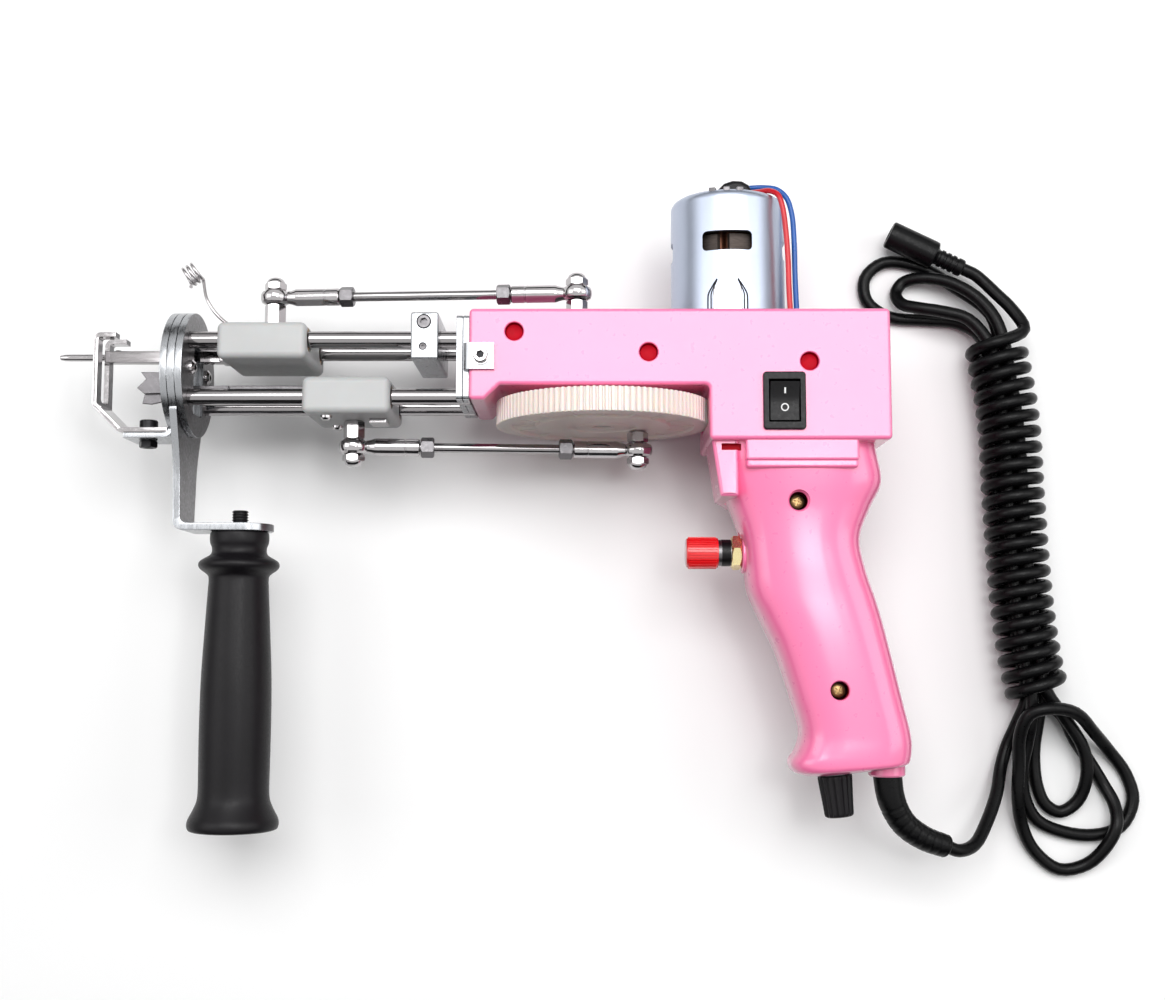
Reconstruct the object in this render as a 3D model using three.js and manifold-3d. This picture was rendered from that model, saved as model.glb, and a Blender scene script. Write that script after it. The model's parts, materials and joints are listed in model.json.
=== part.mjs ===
// Handheld tufting machine, lying on its side with its bound cord beside it.
// Millimetres. X runs from the needle to the grip's back, Y from the grip to the motor, Z up from the table.
import * as THREE from "three";
import { mergeVertices } from "three/addons/utils/BufferGeometryUtils.js";
import Module from "manifold-3d";

const wasm = await Module();
wasm.setup();

// Driving dimensions. Places are measured from the gear's centre, on the plane where the two half shells meet.
const fit = { running: 0.15, touching: 0.3, over: 3 };
const facets = {
  round: 24, small: 14, tiny: 8, hex: 6, wire: 6, wireSteps: 12, cord: 8, cordSteps: 20, grip: 16, cavity: 10, corner: 2,
  sleeve: 10, sleeveSteps: 12, hank: 5, hankTurn: 10, hankBend: 2, guide: 5, guideTurn: 10, guideEye: 6,
};
const gear = { module: 0.7, teeth: 110, width: 8.7, grooveInner: 24.5, grooveOuter: 34, groove: 0.8 };
const pinion = { teeth: 23, width: 9.6, collar: 5, collarLength: 3 };
// How wide a tooth is at its tip and root, as shares of the pitch, and how high and deep, of the module.
const toothTipShare = 0.26;
const domeShare = 0.8;
const toothRootShare = 0.62;
const addendumShare = 0.85;
const dedendumShare = 1.15;
const shaft = { radius: 4, sunk: 0.6, hole: 5.2 };
const bearing = { radius: 8, width: 5, wall: 2.6 };
const crank = { radius: 16.4, thickness: 4, proud: 0.4, gap: 0.8, upperThrow: 11.5, lowerThrow: 16, turn: 34.5 };
const casing = {
  ahead: 47.6, behind: 101.9, top: 35, roof: 7.5, rearFoot: 12.1, frontFoot: 2.1, half: 23.5, wall: 2.2,
  recessFront: 42.2, recessChamfer: 5.5, recessRear: 37.5, edge: 1.4, shelf: 2.8, slotHalf: 14.5, slotGap: 0.9,
};
const grip = {
  front: 40.7, depth: 69.5, length: 118.7, half: 17, wall: 2.5, corner: 3.2, pad: 7.5, padDepth: 5, boss: 6.6,
  bossLength: 3.4,
};
// Sections of the grip from top to bottom: front across and down, back across and down, half thickness.
const gripShares = [
  [-0.03, -0.07, 0.815, -0.07, 1.22], [-0.01, 0.04, 0.85, 0.035, 1.2], [0.035, 0.12, 0.868, 0.115, 1.13],
  [0.09, 0.2, 0.805, 0.195, 1.05], [0.134, 0.28, 0.752, 0.285, 1], [0.153, 0.365, 0.785, 0.39, 0.97],
  [0.171, 0.445, 0.825, 0.46, 0.95], [0.235, 0.53, 0.859, 0.53, 0.94], [0.308, 0.622, 0.9, 0.63, 0.93],
  [0.385, 0.76, 0.955, 0.77, 0.92], [0.432, 0.872, 0.997, 0.88, 0.92], [0.405, 0.925, 0.998, 0.92, 0.93],
  [0.373, 0.955, 0.99, 0.95, 0.93], [0.385, 0.985, 0.98, 0.962, 0.91], [0.415, 1, 0.965, 0.967, 0.86],
];
const lip = { front: 50.7, back: 92.7, drop: 9.5, half: 22.3, edge: 1 };
const motor = {
  foot: 20, radius: 21, wall: 1.2, length: 60, shoulder: 2.6, shoulderStep: 2.2, boss: 6.5, bossLength: 2.6,
  shaft: 2.5, core: 17.5, coreGap: 6, window: 16.4, windowHeight: 7, cap: 18.2,
  capHeight: 3.4, bootWidth: 12.6, bootDepth: 10, bootHeight: 4.8, bootAside: 1.8, mouth: 8, spigot: 6.8,
  spigotLength: 4.6, commutator: 8, commutatorLength: 4, tail: 1.4, edge: 2, bootEase: 0.8,
};
const motorWindowShare = 0.617;
const wire = { radius: 1, hole: 1.6, end: 11.5, rise: 3.3 };
// Places of the two wires: behind the motor's axis, up from the casing to the boot as a share, out to the near side.
const blueShares = [
  [8.5, 1, 0.6], [13, 0.998, 1.6], [17.6, 0.98, 2.8], [21.4, 0.926, 4], [23.6, 0.824, 4.6], [24.4, 0.661, 5],
  [24.6, 0.335, 5], [25, 0, 5],
];
const redShares = [
  [8.5, 0.993, 4.2], [12.6, 0.987, 7.4], [16.2, 0.969, 11], [18.9, 0.897, 13.2], [20, 0.752, 13.8],
  [20.2, 0.516, 13.9], [20.5, 0.245, 13.8], [21.6, 0, 12.8],
];
const post = { near: 5, far: 4.2, recess: 3.3, seat: 5.5, head: 2.9, headHeight: 2, screw: 1.5, tip: 9 };
// The casing's screws along its length and up its height, and the grip's across, down and out.
const boxScrewShares = [[0.107, 0.695], [0.426, 0.425], [0.807, 0.305]];
const gripScrewShares = [[0.412, 0.178, 1], [0.609, 0.741, 0.918]];
const plate = { thickness: 2.35, top: 33, bottom: 2.4, half: 21.5, corner: 1.5 };
const ear = { low: 12.7, high: 22.4, length: 8.2, thickness: 1.6 };
const earScrew = { along: 4.3, head: 3.2, headHeight: 2.4, shank: 1.5, length: 7 };
const rail = { radius: 3, upper: 26, lower: 5, aside: 12, length: 97.3 };
const head = {
  radius: 23, centre: 15, rear: 2.6, middle: 2.8, front: 2.5, windowLow: 0, windowHigh: 25.2, windowHalf: 6.4,
};
const bracket = { foot: 43, legHalf: 10, kneeHalf: 11.5, knee: 18, shoulderHalf: 19, shoulder: 2, footLength: 34.4 };
const arm = { half: 9, thickness: 1.9, length: 16.6, below: 1.3, root: 9 };
const foot = {
  thickness: 1.8, half: 9, forkHalf: 4, top: 29.6, forkLow: 4.5, bend: 7.3, reach: 28.4, gap: 0.5, tab: 8,
  slotGap: 0.4, travel: 5,
};
const footScrew = { ahead: 9.9, head: 3.3, headHeight: 3.6, shank: 2, nut: 3.4, nutHeight: 2.6 };
const upperCarriage = { ahead: 17, behind: 15.1, above: 5.4, below: 8, half: 19, round: 2.4, edge: 0.7 };
const lowerCarriage = { ahead: 16.1, behind: 15.4, above: 6.5, below: 6.9, half: 19, round: 2.4, edge: 0.7 };
const link = {
  upperRise: 13, lowerRise: 9.6, eye: 5.5, eyeHeight: 5.2, eyeEdge: 1.1,
  bore: 2.2, pin: 1.9, spigot: 6, foot: 3.9, nut: 4.1, nutHeight: 2.8, dome: 2, domeTop: 1.6, neckRadius: 2.4,
  neck: 4.2, shankStart: 7.6, shank: 3.2, shankEnd: 24.2, lockNut: 3.8, lockNutLength: 5, rod: 1.8, rodDepth: 8,
  gap: 0.15, clear: 0.35,
};
// How long the two crank rods are, as shares of the guide rods' length.
const upperLinkShare = 1.15416;
const lowerLinkShare = 1.08119;
const needle = {
  radius: 1.3, length: 18, tip: 4.5, barHalf: 2.2, height: 21.8, barFront: 26.5, flange: 5.2, flangeThickness: 2.4,
  seat: 8, point: 0.2,
};
const scissor = {
  pivotAhead: 2.6, pivotHeight: 12, thickness: 1.4, pin: 1.4, rivet: 2.4, rivetHeight: 0.8, blade: 13, bladeRoot: 2.2,
  tip: 0.8, tipRise: 1.5, tang: 22, tangNeck: 8, tangHalf: 1.6, hub: 3.1, gap: 0.2, open: 15, tail: 10.5, tailDrop: 3.4,
  tailHalf: 1.3,
};
const scissorBar = { low: 7.6, high: 11.3, thickness: 3.2, behind: 13.4, flangeHalf: 5, flangeThickness: 2.4 };
const stop = { ahead: 16.6, length: 9.9, top: 34.7, bottom: 17.6, half: 19, edge: 0.8 };
const guide = {
  reach: 31.4, rise: 21.8, wire: 0.65, eye: 5.1, above: 0.8, coil: 3.6, turns: 3, pitch: 1.8, lean: 32,
};
// The yarn guide's stem, as shares of its reach ahead, its rise and its eye.
const guideStemShares = [
  [0.159, 0.037, 0.96], [0.318, 0.041, 0.863], [0.478, 0.073, 0.706], [0.65, 0.248, 0.549], [0.796, 0.55, 0.47],
];
const handle = {
  ahead: 22.2, neck: 11, neckEnd: 7, collar: 14.8, collarStart: 9.6, collarEnd: 14.6, top: 11.6, topEnd: 17.5,
  waist: 11, waistEnd: 42, belly: 13, bellyEnd: 96, flare: 16.5, flareStart: 102.4, length: 107.8, bore: 3.2,
  boreDepth: 24, edge: 1.2,
};
const stud = { radius: 3, above: 5.2, depth: 22 };
const rocker = {
  behind: 63.85, above: 1.55, width: 15, height: 20.6, proud: 1.6, bodyWidth: 13, bodyHeight: 19, depth: 13,
  openWidth: 11.2, openHeight: 15.4, floor: 2, keyWidth: 10.4, keyHalf: 6.8, keyTop: 1.6, dip: 0.9, skirt: 1.4,
  keyFoot: 3.2, keyDepth: 5.4, tilt: 9, pivotDrop: 1, gap: 0.3, edge: 0.4,
};
const trigger = {
  below: 50.6, front: 30.2, cap: 5.85, capEdge: 0.9, capLength: 11.7, capWall: 0.8, capFace: 2.4, barrel: 4.75,
  barrelFront: 37.2, barrelEnd: 70, stem: 2, stemLength: 16, nut: 6.4, nutLength: 2.6, seat: 50.4, bore: 24,
};
const knob = { along: 13.6, radius: 6.25, tip: 5.2, length: 14.6, gap: 1.2, stem: 3, stemLength: 9, edge: 0.9 };
const cord = { radius: 2.4, sleeve: 5.2, sleeveTip: 4.2, sleeveHole: 5.6 };
const sleeveStraightShare = 0.2;
// Cord places, picked by hand: behind the gear's axis, towards the motor, height over the table.
const sleeveRoute = [
  [101.8, -121, 39.1], [101.9, -126, 39.1], [102.2, -131, 39], [103.6, -139.5, 38.4], [108, -147.6, 36.6],
  [115.6, -153.2, 34], [125, -156.8, 30.8],
];
const leadRoute = [
  [125, -156.8, 30.8], [129.5, -158.4, 29.2], [136.4, -157, 24.4], [143, -149.6, 17.6], [148.8, -139.6, 11],
  [152.2, -130, 5.8], [155.2, -122, 4.2], [157.7, -116, 5.6], [159.6, -111, 7.2],
];
const hankStart = [[159.6, -111, 7.2], [161.3, -106.4, 8.7]];
const hankAxis = [
  [165, -101.7, 11.9], [162.4, -88, 11.9], [160, -66, 11.9], [158.2, -30, 11.9], [157, 4, 11.9], [153, 32, 11.9],
];
const foldA = [
  [147, 38.6, 6.2], [139.6, 43, 3.8], [128, 44.2, 2.6], [113.6, 45.6, 2.6], [105.2, 52, 2.6], [104.6, 61, 2.6],
  [112, 67.4, 2.6], [126, 65.9, 2.6], [140.2, 57, 3.6], [152.6, 45.6, 7.2],
];
const foldB = [
  [152.7, 42.4, 13.8], [146.1, 51.6, 11.4], [135.5, 58.3, 9], [125.1, 60.3, 6], [119.2, 59, 3.2],
  [116.5, 54.5, 3.6], [118.1, 49.5, 7.6], [123.7, 47.2, 11], [132.9, 45.2, 13], [142.4, 42.1, 13.6],
];
const loopA = [
  [166.9, -112, 6.2], [165.9, -124, 2.8], [166.5, -136.6, 2.6], [169.7, -144.5, 2.6],
  [175.2, -147.3, 2.6], [181.6, -143.1, 3.8], [184.2, -133.1, 7.6], [182.7, -123.2, 9.6],
  [175.7, -111.8, 11.6],
];
const loopB = [
  [162, -112, 13.4], [161.5, -121, 9.2], [160.2, -131, 6.2], [161.5, -141.9, 3.8], [166.3, -150.4, 2.6],
  [176, -154.8, 2.6], [188, -156, 2.6], [197.9, -152.9, 2.6], [203.2, -142.9, 2.6], [200.7, -132.8, 2.6],
  [193.8, -123.9, 4.8], [186.4, -116.9, 11], [177.6, -109.3, 17.6], [167.3, -107.5, 21],
];
const loopC = [
  [159.8, -109.6, 19.8], [156.9, -117.6, 15.8], [157.4, -129, 11.6], [157.4, -140.8, 9],
  [159.8, -151.9, 4.6], [164.8, -161.8, 2.6], [174, -168.8, 2.6], [184.5, -166.8, 3.4],
  [191.1, -159.3, 7.2], [194.5, -151.6, 8.6], [195, -144.2, 5.4], [192.1, -137, 2.6],
  [187.3, -128.7, 2.6], [181.7, -120.2, 2.6], [177, -110.7, 2.6],
];
const hankExit = [
  [163, 37.5, 16.6], [159.6, 46, 13.2], [154, 53.2, 10.6], [149.6, 58.4, 9], [146.5, 61.1, 8.8], [142, 63.3, 8.8],
];
const hank = { turns: 22.5, wrap: 9.5, aside: 2.75, leastGap: 0.35, apart: 12, measureStep: 1.2 };
const strandShares = [0, 0.05, 0.25, 0.5, 0.75, 0.95, 1];
const connector = { radius: 5.4, barrel: 20, relief: 3.4, reliefLength: 12, mouth: 2.8, mouthDepth: 9, edge: 0.8 };

// Colours
function finish(color, roughness, metalness) {
  return new THREE.MeshStandardMaterial({ color, roughness, metalness });
}
const pink = finish(0xf58fbe, 0.3, 0);
const zinc = finish(0xa9b6c2, 0.3, 0.9);
const steel = finish(0xc4c7c9, 0.25, 1);
const dullSteel = finish(0x8e9294, 0.4, 0.9);
const aluminium = finish(0xdfe2e2, 0.35, 0.9);
const nylon = finish(0xc9cac6, 0.6, 0);
const ivory = finish(0xe3d6c8, 0.55, 0);
const black = finish(0x17181a, 0.4, 0);
const softBlack = finish(0x1c1d1f, 0.55, 0);
const red = finish(0xd8141c, 0.25, 0);
const blue = finish(0x1f6fc4, 0.4, 0);
const brass = finish(0xc9a24b, 0.3, 0.9);
const copper = finish(0x6d4a35, 0.5, 0.4);

// Places that follow from the sizes above
const gearPitch = (gear.module * gear.teeth) / 2;
const pinionPitch = (gear.module * pinion.teeth) / 2;
const motorX = gearPitch + pinionPitch;
const tableZ = -(gearPitch + gear.module * addendumShare);
const gearTop = gear.width / 2;
const crankTop = casing.top + crank.proud;
const upperSeat = crankTop - crank.thickness - crank.gap - bearing.width;
const lowerSeat = casing.roof + casing.wall;
const inner = casing.half - casing.wall;
const platesFront = -casing.ahead - 2 * plate.thickness;
const rearDiscX = platesFront - rail.length;
const armTop = head.centre - head.radius - arm.below + arm.thickness;
const turn = THREE.MathUtils.degToRad(crank.turn);
const upperPin = [-crank.upperThrow * Math.cos(turn), crank.upperThrow * Math.sin(turn)];
const lowerPin = [crank.lowerThrow * Math.cos(turn), -crank.lowerThrow * Math.sin(turn)];
const upperLength = rail.length * upperLinkShare;
const lowerLength = rail.length * lowerLinkShare;
const upperStudX = upperPin[0] - Math.sqrt(upperLength ** 2 - upperPin[1] ** 2);
const lowerStudX = lowerPin[0] - Math.sqrt(lowerLength ** 2 - lowerPin[1] ** 2);
const upperTop = rail.upper + upperCarriage.above;
const lowerBottom = rail.lower - lowerCarriage.below;
const upperLinkY = upperTop + link.upperRise;
const lowerLinkY = lowerBottom - link.lowerRise;
const gripX = (share) => grip.front + grip.depth * share;
const gripY = (share) => -casing.rearFoot - grip.length * share;

// Solids

// A closed geometry as a solid to join and cut, with its faces turned outwards.
function solid(geometry) {
  const loose = geometry.index ? geometry.toNonIndexed() : geometry;
  const bare = new THREE.BufferGeometry().setAttribute("position", loose.getAttribute("position"));
  const merged = mergeVertices(bare);
  const corners = [];
  for (let i = 0; i < merged.index.count; i += 3) {
    const [a, b, c] = [0, 1, 2].map((k) => merged.index.getX(i + k));
    if (a !== b && b !== c && c !== a) corners.push(a, b, c);
  }
  const vertProperties = merged.attributes.position.array;
  const made = new wasm.Manifold(new wasm.Mesh({ numProp: 3, vertProperties, triVerts: new Uint32Array(corners) }));
  if (made.volume() > 0) return made;
  return new wasm.Manifold(
    new wasm.Mesh({ numProp: 3, vertProperties, triVerts: new Uint32Array(corners.reverse()) }),
  );
}

function geometryOf(made) {
  const { vertProperties, triVerts } = made.getMesh();
  const geometry = new THREE.BufferGeometry();
  geometry.setAttribute("position", new THREE.Float32BufferAttribute(vertProperties, 3));
  geometry.setIndex([...triVerts]);
  return geometry;
}

function join(first, ...rest) {
  return geometryOf(rest.reduce((whole, piece) => whole.add(solid(piece)), solid(first)));
}

function cut(first, ...rest) {
  return geometryOf(rest.reduce((whole, piece) => whole.subtract(solid(piece)), solid(first)));
}

function common(first, second) {
  return geometryOf(solid(first).intersect(solid(second)));
}

// A block between two corners.
function block(x0, x1, y0, y1, z0, z1) {
  const geometry = new THREE.BoxGeometry(x1 - x0, y1 - y0, z1 - z0);
  return geometry.translate((x0 + x1) / 2, (y0 + y1) / 2, (z0 + z1) / 2);
}

// A turned body: [radius, place] pairs about the axis named, moved to x, y, z.
function turned(profile, sides, axis, x, y, z) {
  const geometry = new THREE.LatheGeometry(profile.map((pair) => new THREE.Vector2(...pair)), sides);
  if (axis === "x") geometry.rotateZ(-Math.PI / 2);
  if (axis === "z") geometry.rotateX(Math.PI / 2);
  return geometry.translate(x, y, z);
}

// A round bar from low to high along the axis named.
function bar(radius, low, high, sides, axis, x, y, z) {
  return turned([[0, low], [radius, low], [radius, high], [0, high]], sides, axis, x, y, z);
}

// A ring from low to high about the axis named.
function ring(hole, radius, low, high, sides, axis, x, y, z) {
  return turned([[hole, low], [radius, low], [radius, high], [hole, high], [hole, low]], sides, axis, x, y, z);
}

// An outline pushed out from low to high along the axis named, its edges eased where an edge is given.
// Its points are [x, y] for z, [x, z] for y and [y, z] for x.
function slab(points, low, high, axis, edge = 0) {
  const flat = { z: ([a, b]) => [a, b], y: ([a, b]) => [a, -b], x: ([a, b]) => [-b, a] }[axis];
  const shape = new THREE.Shape(points.map((point) => new THREE.Vector2(...flat(point))));
  const geometry = new THREE.ExtrudeGeometry(shape, {
    depth: high - low - 2 * edge,
    bevelEnabled: edge > 0,
    bevelThickness: edge,
    bevelSize: edge,
    bevelOffset: -edge,
    bevelSegments: 1,
  });
  geometry.translate(0, 0, low + edge);
  if (axis === "y") geometry.rotateX(-Math.PI / 2);
  if (axis === "x") geometry.rotateY(Math.PI / 2);
  return geometry;
}

// The points of an arc about a centre, from one angle to another.
function arc(a, b, radius, from, to, steps) {
  return Array.from({ length: steps + 1 }, (_, i) => {
    const angle = from + ((to - from) * i) / steps;
    return [a + radius * Math.cos(angle), b + radius * Math.sin(angle)];
  });
}

// A rectangle with rounded corners.
function rounded(a0, a1, b0, b1, radius) {
  const quarter = Math.PI / 2;
  return [
    ...arc(a1 - radius, b1 - radius, radius, 0, quarter, facets.corner),
    ...arc(a0 + radius, b1 - radius, radius, quarter, 2 * quarter, facets.corner),
    ...arc(a0 + radius, b0 + radius, radius, 2 * quarter, 3 * quarter, facets.corner),
    ...arc(a1 - radius, b0 + radius, radius, 3 * quarter, 4 * quarter, facets.corner),
  ];
}

// A closed outline drawn in by a distance, corner by corner.
function inset(points, distance) {
  return points.map(([x, y], i) => {
    const [px, py] = points.at(i - 1);
    const [nx, ny] = points[(i + 1) % points.length];
    const before = new THREE.Vector2(py - y, x - px).normalize();
    const after = new THREE.Vector2(y - ny, nx - x).normalize();
    const share = distance / (1 + before.dot(after));
    return [x + (before.x + after.x) * share, y + (before.y + after.y) * share];
  });
}

// A skin over rings of points, each ring as long as the next, closed by a fan at both ends.
function lofted(rings) {
  const sides = rings[0].length;
  const centres = [rings[0], rings.at(-1)].map((points) => {
    return points.reduce((sum, point) => sum.add(point), new THREE.Vector3()).divideScalar(sides);
  });
  const vertices = [...rings.flat(), ...centres];
  const index = [];
  for (let r = 0; r < rings.length; r++) {
    for (let s = 0; s < sides; s++) {
      const here = r * sides + s;
      const beside = r * sides + ((s + 1) % sides);
      if (r === 0) index.push(vertices.length - 2, beside, here);
      if (r === rings.length - 1) index.push(vertices.length - 1, here, beside);
      else index.push(here, beside, beside + sides, here, beside + sides, here + sides);
    }
  }
  const geometry = new THREE.BufferGeometry().setFromPoints(vertices);
  geometry.setIndex(index);
  return geometry;
}

// A round skin over a line of points, with a radius for each point.
function swept(points, radii, sides) {
  const along = points.map((point, i) => {
    const next = points[Math.min(i + 1, points.length - 1)];
    return next.clone().sub(points[Math.max(i - 1, 0)]).normalize();
  });
  const side = new THREE.Vector3(0, 0, 1).cross(along[0]).normalize();
  return lofted(points.map((point, i) => {
    side.addScaledVector(along[i], -side.dot(along[i])).normalize();
    const up = along[i].clone().cross(side);
    return Array.from({ length: sides }, (_, s) => {
      const angle = (2 * Math.PI * s) / sides;
      const out = side.clone().multiplyScalar(Math.cos(angle)).addScaledVector(up, Math.sin(angle));
      return point.clone().addScaledVector(out, radii[i]);
    });
  }));
}

// A round tube along a smooth curve.
function tube(curve, radius, sides, steps) {
  const section = new THREE.Shape(arc(0, 0, radius, 0, 2 * Math.PI, sides).slice(0, -1).map((p) => new THREE.Vector2(...p)));
  return new THREE.ExtrudeGeometry(section, { steps, extrudePath: curve, bevelEnabled: false });
}

function through(places) {
  return new THREE.CatmullRomCurve3(places.map(([x, y, z]) => new THREE.Vector3(x, y, z)), false, "centripetal");
}

// Nodes
const machine = new THREE.Group();
const cordGroup = new THREE.Group();
function node(name, geometry, material, parent = machine) {
  const mesh = new THREE.Mesh(geometryOf(solid(geometry)), material);
  mesh.geometry.computeVertexNormals();
  mesh.name = name;
  parent.add(mesh);
  return mesh;
}

// Casing

const boxOutline = [
  [-casing.ahead, casing.frontFoot],
  [-casing.recessFront, casing.frontFoot],
  [-casing.recessFront + casing.recessChamfer, casing.roof],
  [casing.recessRear, casing.roof],
  [casing.recessRear, -casing.rearFoot],
  [casing.behind, -casing.rearFoot],
  [casing.behind, casing.top],
  [-casing.ahead, casing.top],
];

// The grip as a stack of rounded sections between its front and back lines, drawn in by a wall.
function gripBody(wall, sides, shares) {
  return lofted(shares.map(([frontShare, frontDrop, backShare, backDrop, thick]) => {
    const front = new THREE.Vector3(gripX(frontShare), gripY(frontDrop), 0);
    const back = new THREE.Vector3(gripX(backShare), gripY(backDrop), 0);
    const middle = front.clone().lerp(back, 1 / 2);
    const reach = back.clone().sub(front);
    const half = reach.length() / 2 - wall;
    const across = reach.normalize();
    const thickness = grip.half * thick - wall;
    return Array.from({ length: sides }, (_, s) => {
      const angle = (2 * Math.PI * s) / sides;
      const ease = (value) => Math.sign(value) * Math.abs(value) ** (2 / grip.corner);
      const out = middle.clone().addScaledVector(across, half * ease(Math.cos(angle)));
      return out.setZ(thickness * ease(Math.sin(angle)));
    });
  }));
}

function gripCavity() {
  const whole = gripBody(grip.wall, facets.cavity, gripShares.filter((_, i) => i % 2 === 0));
  const room = block(gripX(-1), gripX(2), gripY(gripShares.at(-1)[3]) + grip.wall, gripY(-1), -casing.half, casing.half);
  return common(whole, room);
}

const allScrews = [
  ...boxScrewShares.map(([along, up]) => [
    along * (casing.ahead + casing.behind) - casing.ahead, casing.roof + up * (casing.top - casing.roof), casing.half,
  ]),
  ...gripScrewShares.map(([across, down, out]) => [gripX(across), gripY(down), out * grip.half]),
];
const gripBottomFront = [gripX(gripShares.at(-1)[0]), gripY(gripShares.at(-1)[1])];
const gripBottomBack = [gripX(gripShares.at(-1)[2]), gripY(gripShares.at(-1)[3])];
const gripSlope = Math.atan2(gripBottomBack[1] - gripBottomFront[1], gripBottomBack[0] - gripBottomFront[0]);
const knobFoot = [
  gripBottomFront[0] + knob.along * Math.cos(gripSlope),
  gripBottomFront[1] + knob.along * Math.sin(gripSlope),
];
const sleeveExitX = sleeveRoute[1][0];
const sleeveExitY = gripBottomFront[1] + (sleeveExitX - gripBottomFront[0]) * Math.tan(gripSlope);

// The casing as one shell, its screw posts built up from the joint towards the near or the far side.
function casingShell(near) {
  const outer = join(
    slab(boxOutline, -casing.half, casing.half, "z", casing.edge),
    gripBody(0, facets.grip, gripShares),
    slab(
      [
        [lip.front, -casing.rearFoot - lip.drop], [lip.back, -casing.rearFoot - lip.drop],
        [lip.back, -casing.rearFoot + casing.wall], [lip.front, -casing.rearFoot + casing.wall],
      ],
      -lip.half, lip.half, "z", lip.edge,
    ),
    bar(grip.pad, trigger.seat, trigger.seat + grip.padDepth, facets.small, "x", 0, -trigger.below, 0),
    bar(grip.boss, -grip.bossLength, grip.bossLength, facets.small, "y", sleeveExitX, sleeveExitY, 0),
  );
  const hollow = join(slab(inset(boxOutline, casing.wall), -inner, inner, "z"), gripCavity());
  const ribs = [
    block(casing.recessRear + casing.wall / 2, casing.behind - casing.wall / 2, motor.foot - casing.shelf, motor.foot,
      -inner - casing.wall / 2, inner + casing.wall / 2),
    block(-crank.radius - casing.shelf, crank.radius + casing.shelf, upperSeat - casing.shelf, upperSeat,
      -inner - casing.wall / 2, inner + casing.wall / 2),
    bar(bearing.radius + bearing.wall, upperSeat - casing.shelf, upperSeat + bearing.width, facets.small, "y", 0, 0, 0),
    bar(bearing.radius + bearing.wall, casing.roof, lowerSeat + bearing.width, facets.small, "y", 0, 0, 0),
    ...allScrews.map(([x, y, half]) => {
      const reach = half - grip.wall / 2;
      return near
        ? bar(post.near, -fit.over, reach, facets.tiny, "z", x, y, 0)
        : bar(post.far, -reach, fit.over, facets.tiny, "z", x, y, 0);
    }),
  ];
  const seats = [
    bar(bearing.radius + fit.running, upperSeat, crankTop, facets.small, "y", 0, 0, 0),
    bar(bearing.radius + fit.running, lowerSeat, upperSeat - casing.shelf - fit.over, facets.small, "y", 0, 0, 0),
    bar(shaft.hole, 0, casing.top, facets.small, "y", 0, 0, 0),
    bar(crank.radius + crank.gap, crankTop - crank.thickness - crank.gap, casing.top + fit.over, facets.round, "y", 0, 0, 0),
    bar(motor.radius + fit.touching, motor.foot, casing.top + fit.over, facets.round, "y", motorX, 0, 0),
    bar(motor.boss + fit.touching, motor.foot - casing.shelf - fit.over, motor.foot + fit.over, facets.small, "y", motorX, 0, 0),
    block(casing.recessRear - fit.over, casing.recessRear + casing.wall + fit.over, -gearTop - casing.slotGap,
      gearTop + casing.slotGap, -casing.slotHalf, casing.slotHalf),
  ];
  const blueEnd = blueShares.at(-1);
  const redEnd = redShares.at(-1);
  const holes = [
    ...allScrews.flatMap(([x, y, half]) => [
      bar(post.recess, half - post.seat, half + fit.over, facets.tiny, "z", x, y, 0),
      bar(post.screw + fit.touching, -post.tip - fit.over, half, facets.tiny, "z", x, y, 0),
    ]),
    bar(wire.hole, casing.top - casing.wall - fit.over, casing.top + fit.over, facets.tiny, "y", motorX + blueEnd[0], 0, blueEnd[2]),
    bar(wire.hole, casing.top - casing.wall - fit.over, casing.top + fit.over, facets.tiny, "y", motorX + redEnd[0], 0, redEnd[2]),
    bar(earScrew.shank + fit.touching, inner - fit.over, casing.half + fit.over, facets.tiny, "z",
      -casing.ahead + earScrew.along, (ear.low + ear.high) / 2, 0),
    block(rocker.behind - rocker.bodyWidth / 2 - rocker.gap, rocker.behind + rocker.bodyWidth / 2 + rocker.gap,
      rocker.above - rocker.bodyHeight / 2 - rocker.gap, rocker.above + rocker.bodyHeight / 2 + rocker.gap,
      casing.half - rocker.depth - rocker.gap, casing.half + fit.over),
    bar(grip.pad, trigger.seat - grip.pad, trigger.seat, facets.small, "x", 0, -trigger.below, 0),
    bar(trigger.barrel + fit.touching, trigger.seat - fit.over, trigger.barrelEnd + fit.over, facets.small, "x", 0, -trigger.below, 0),
    bar(cord.sleeveHole, -grip.bossLength - fit.over, grip.wall + 2 * fit.over, facets.small, "y", sleeveExitX, sleeveExitY, 0),
    bar(knob.stem + fit.touching, -fit.over, knob.stemLength + fit.over, facets.small, "y", 0, 0, 0)
      .rotateZ(gripSlope).translate(knobFoot[0], knobFoot[1], 0),
  ];
  return cut(join(cut(outer, hollow), ...ribs), ...seats, ...holes);
}

const reach = gripX(2) + casing.behind;
const nearRoom = block(-reach, reach, -reach, reach, 0, reach);
const farRoom = block(-reach, reach, -reach, reach, -reach, 0);
node("housing_near", common(casingShell(true), nearRoom), pink);
node("housing_far", common(casingShell(false), farRoom), pink);
allScrews.forEach(([x, y, half], i) => {
  const seat = half - post.seat;
  const profile = [
    [0, -post.tip], [post.screw, -post.tip], [post.screw, seat], [post.head, seat], [post.head, seat + post.headHeight],
    [0, seat + post.headHeight],
  ];
  node(`housing_screw_${i + 1}`, turned(profile, facets.tiny, "z", x, y, 0), dullSteel);
});

// Gear train

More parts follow.
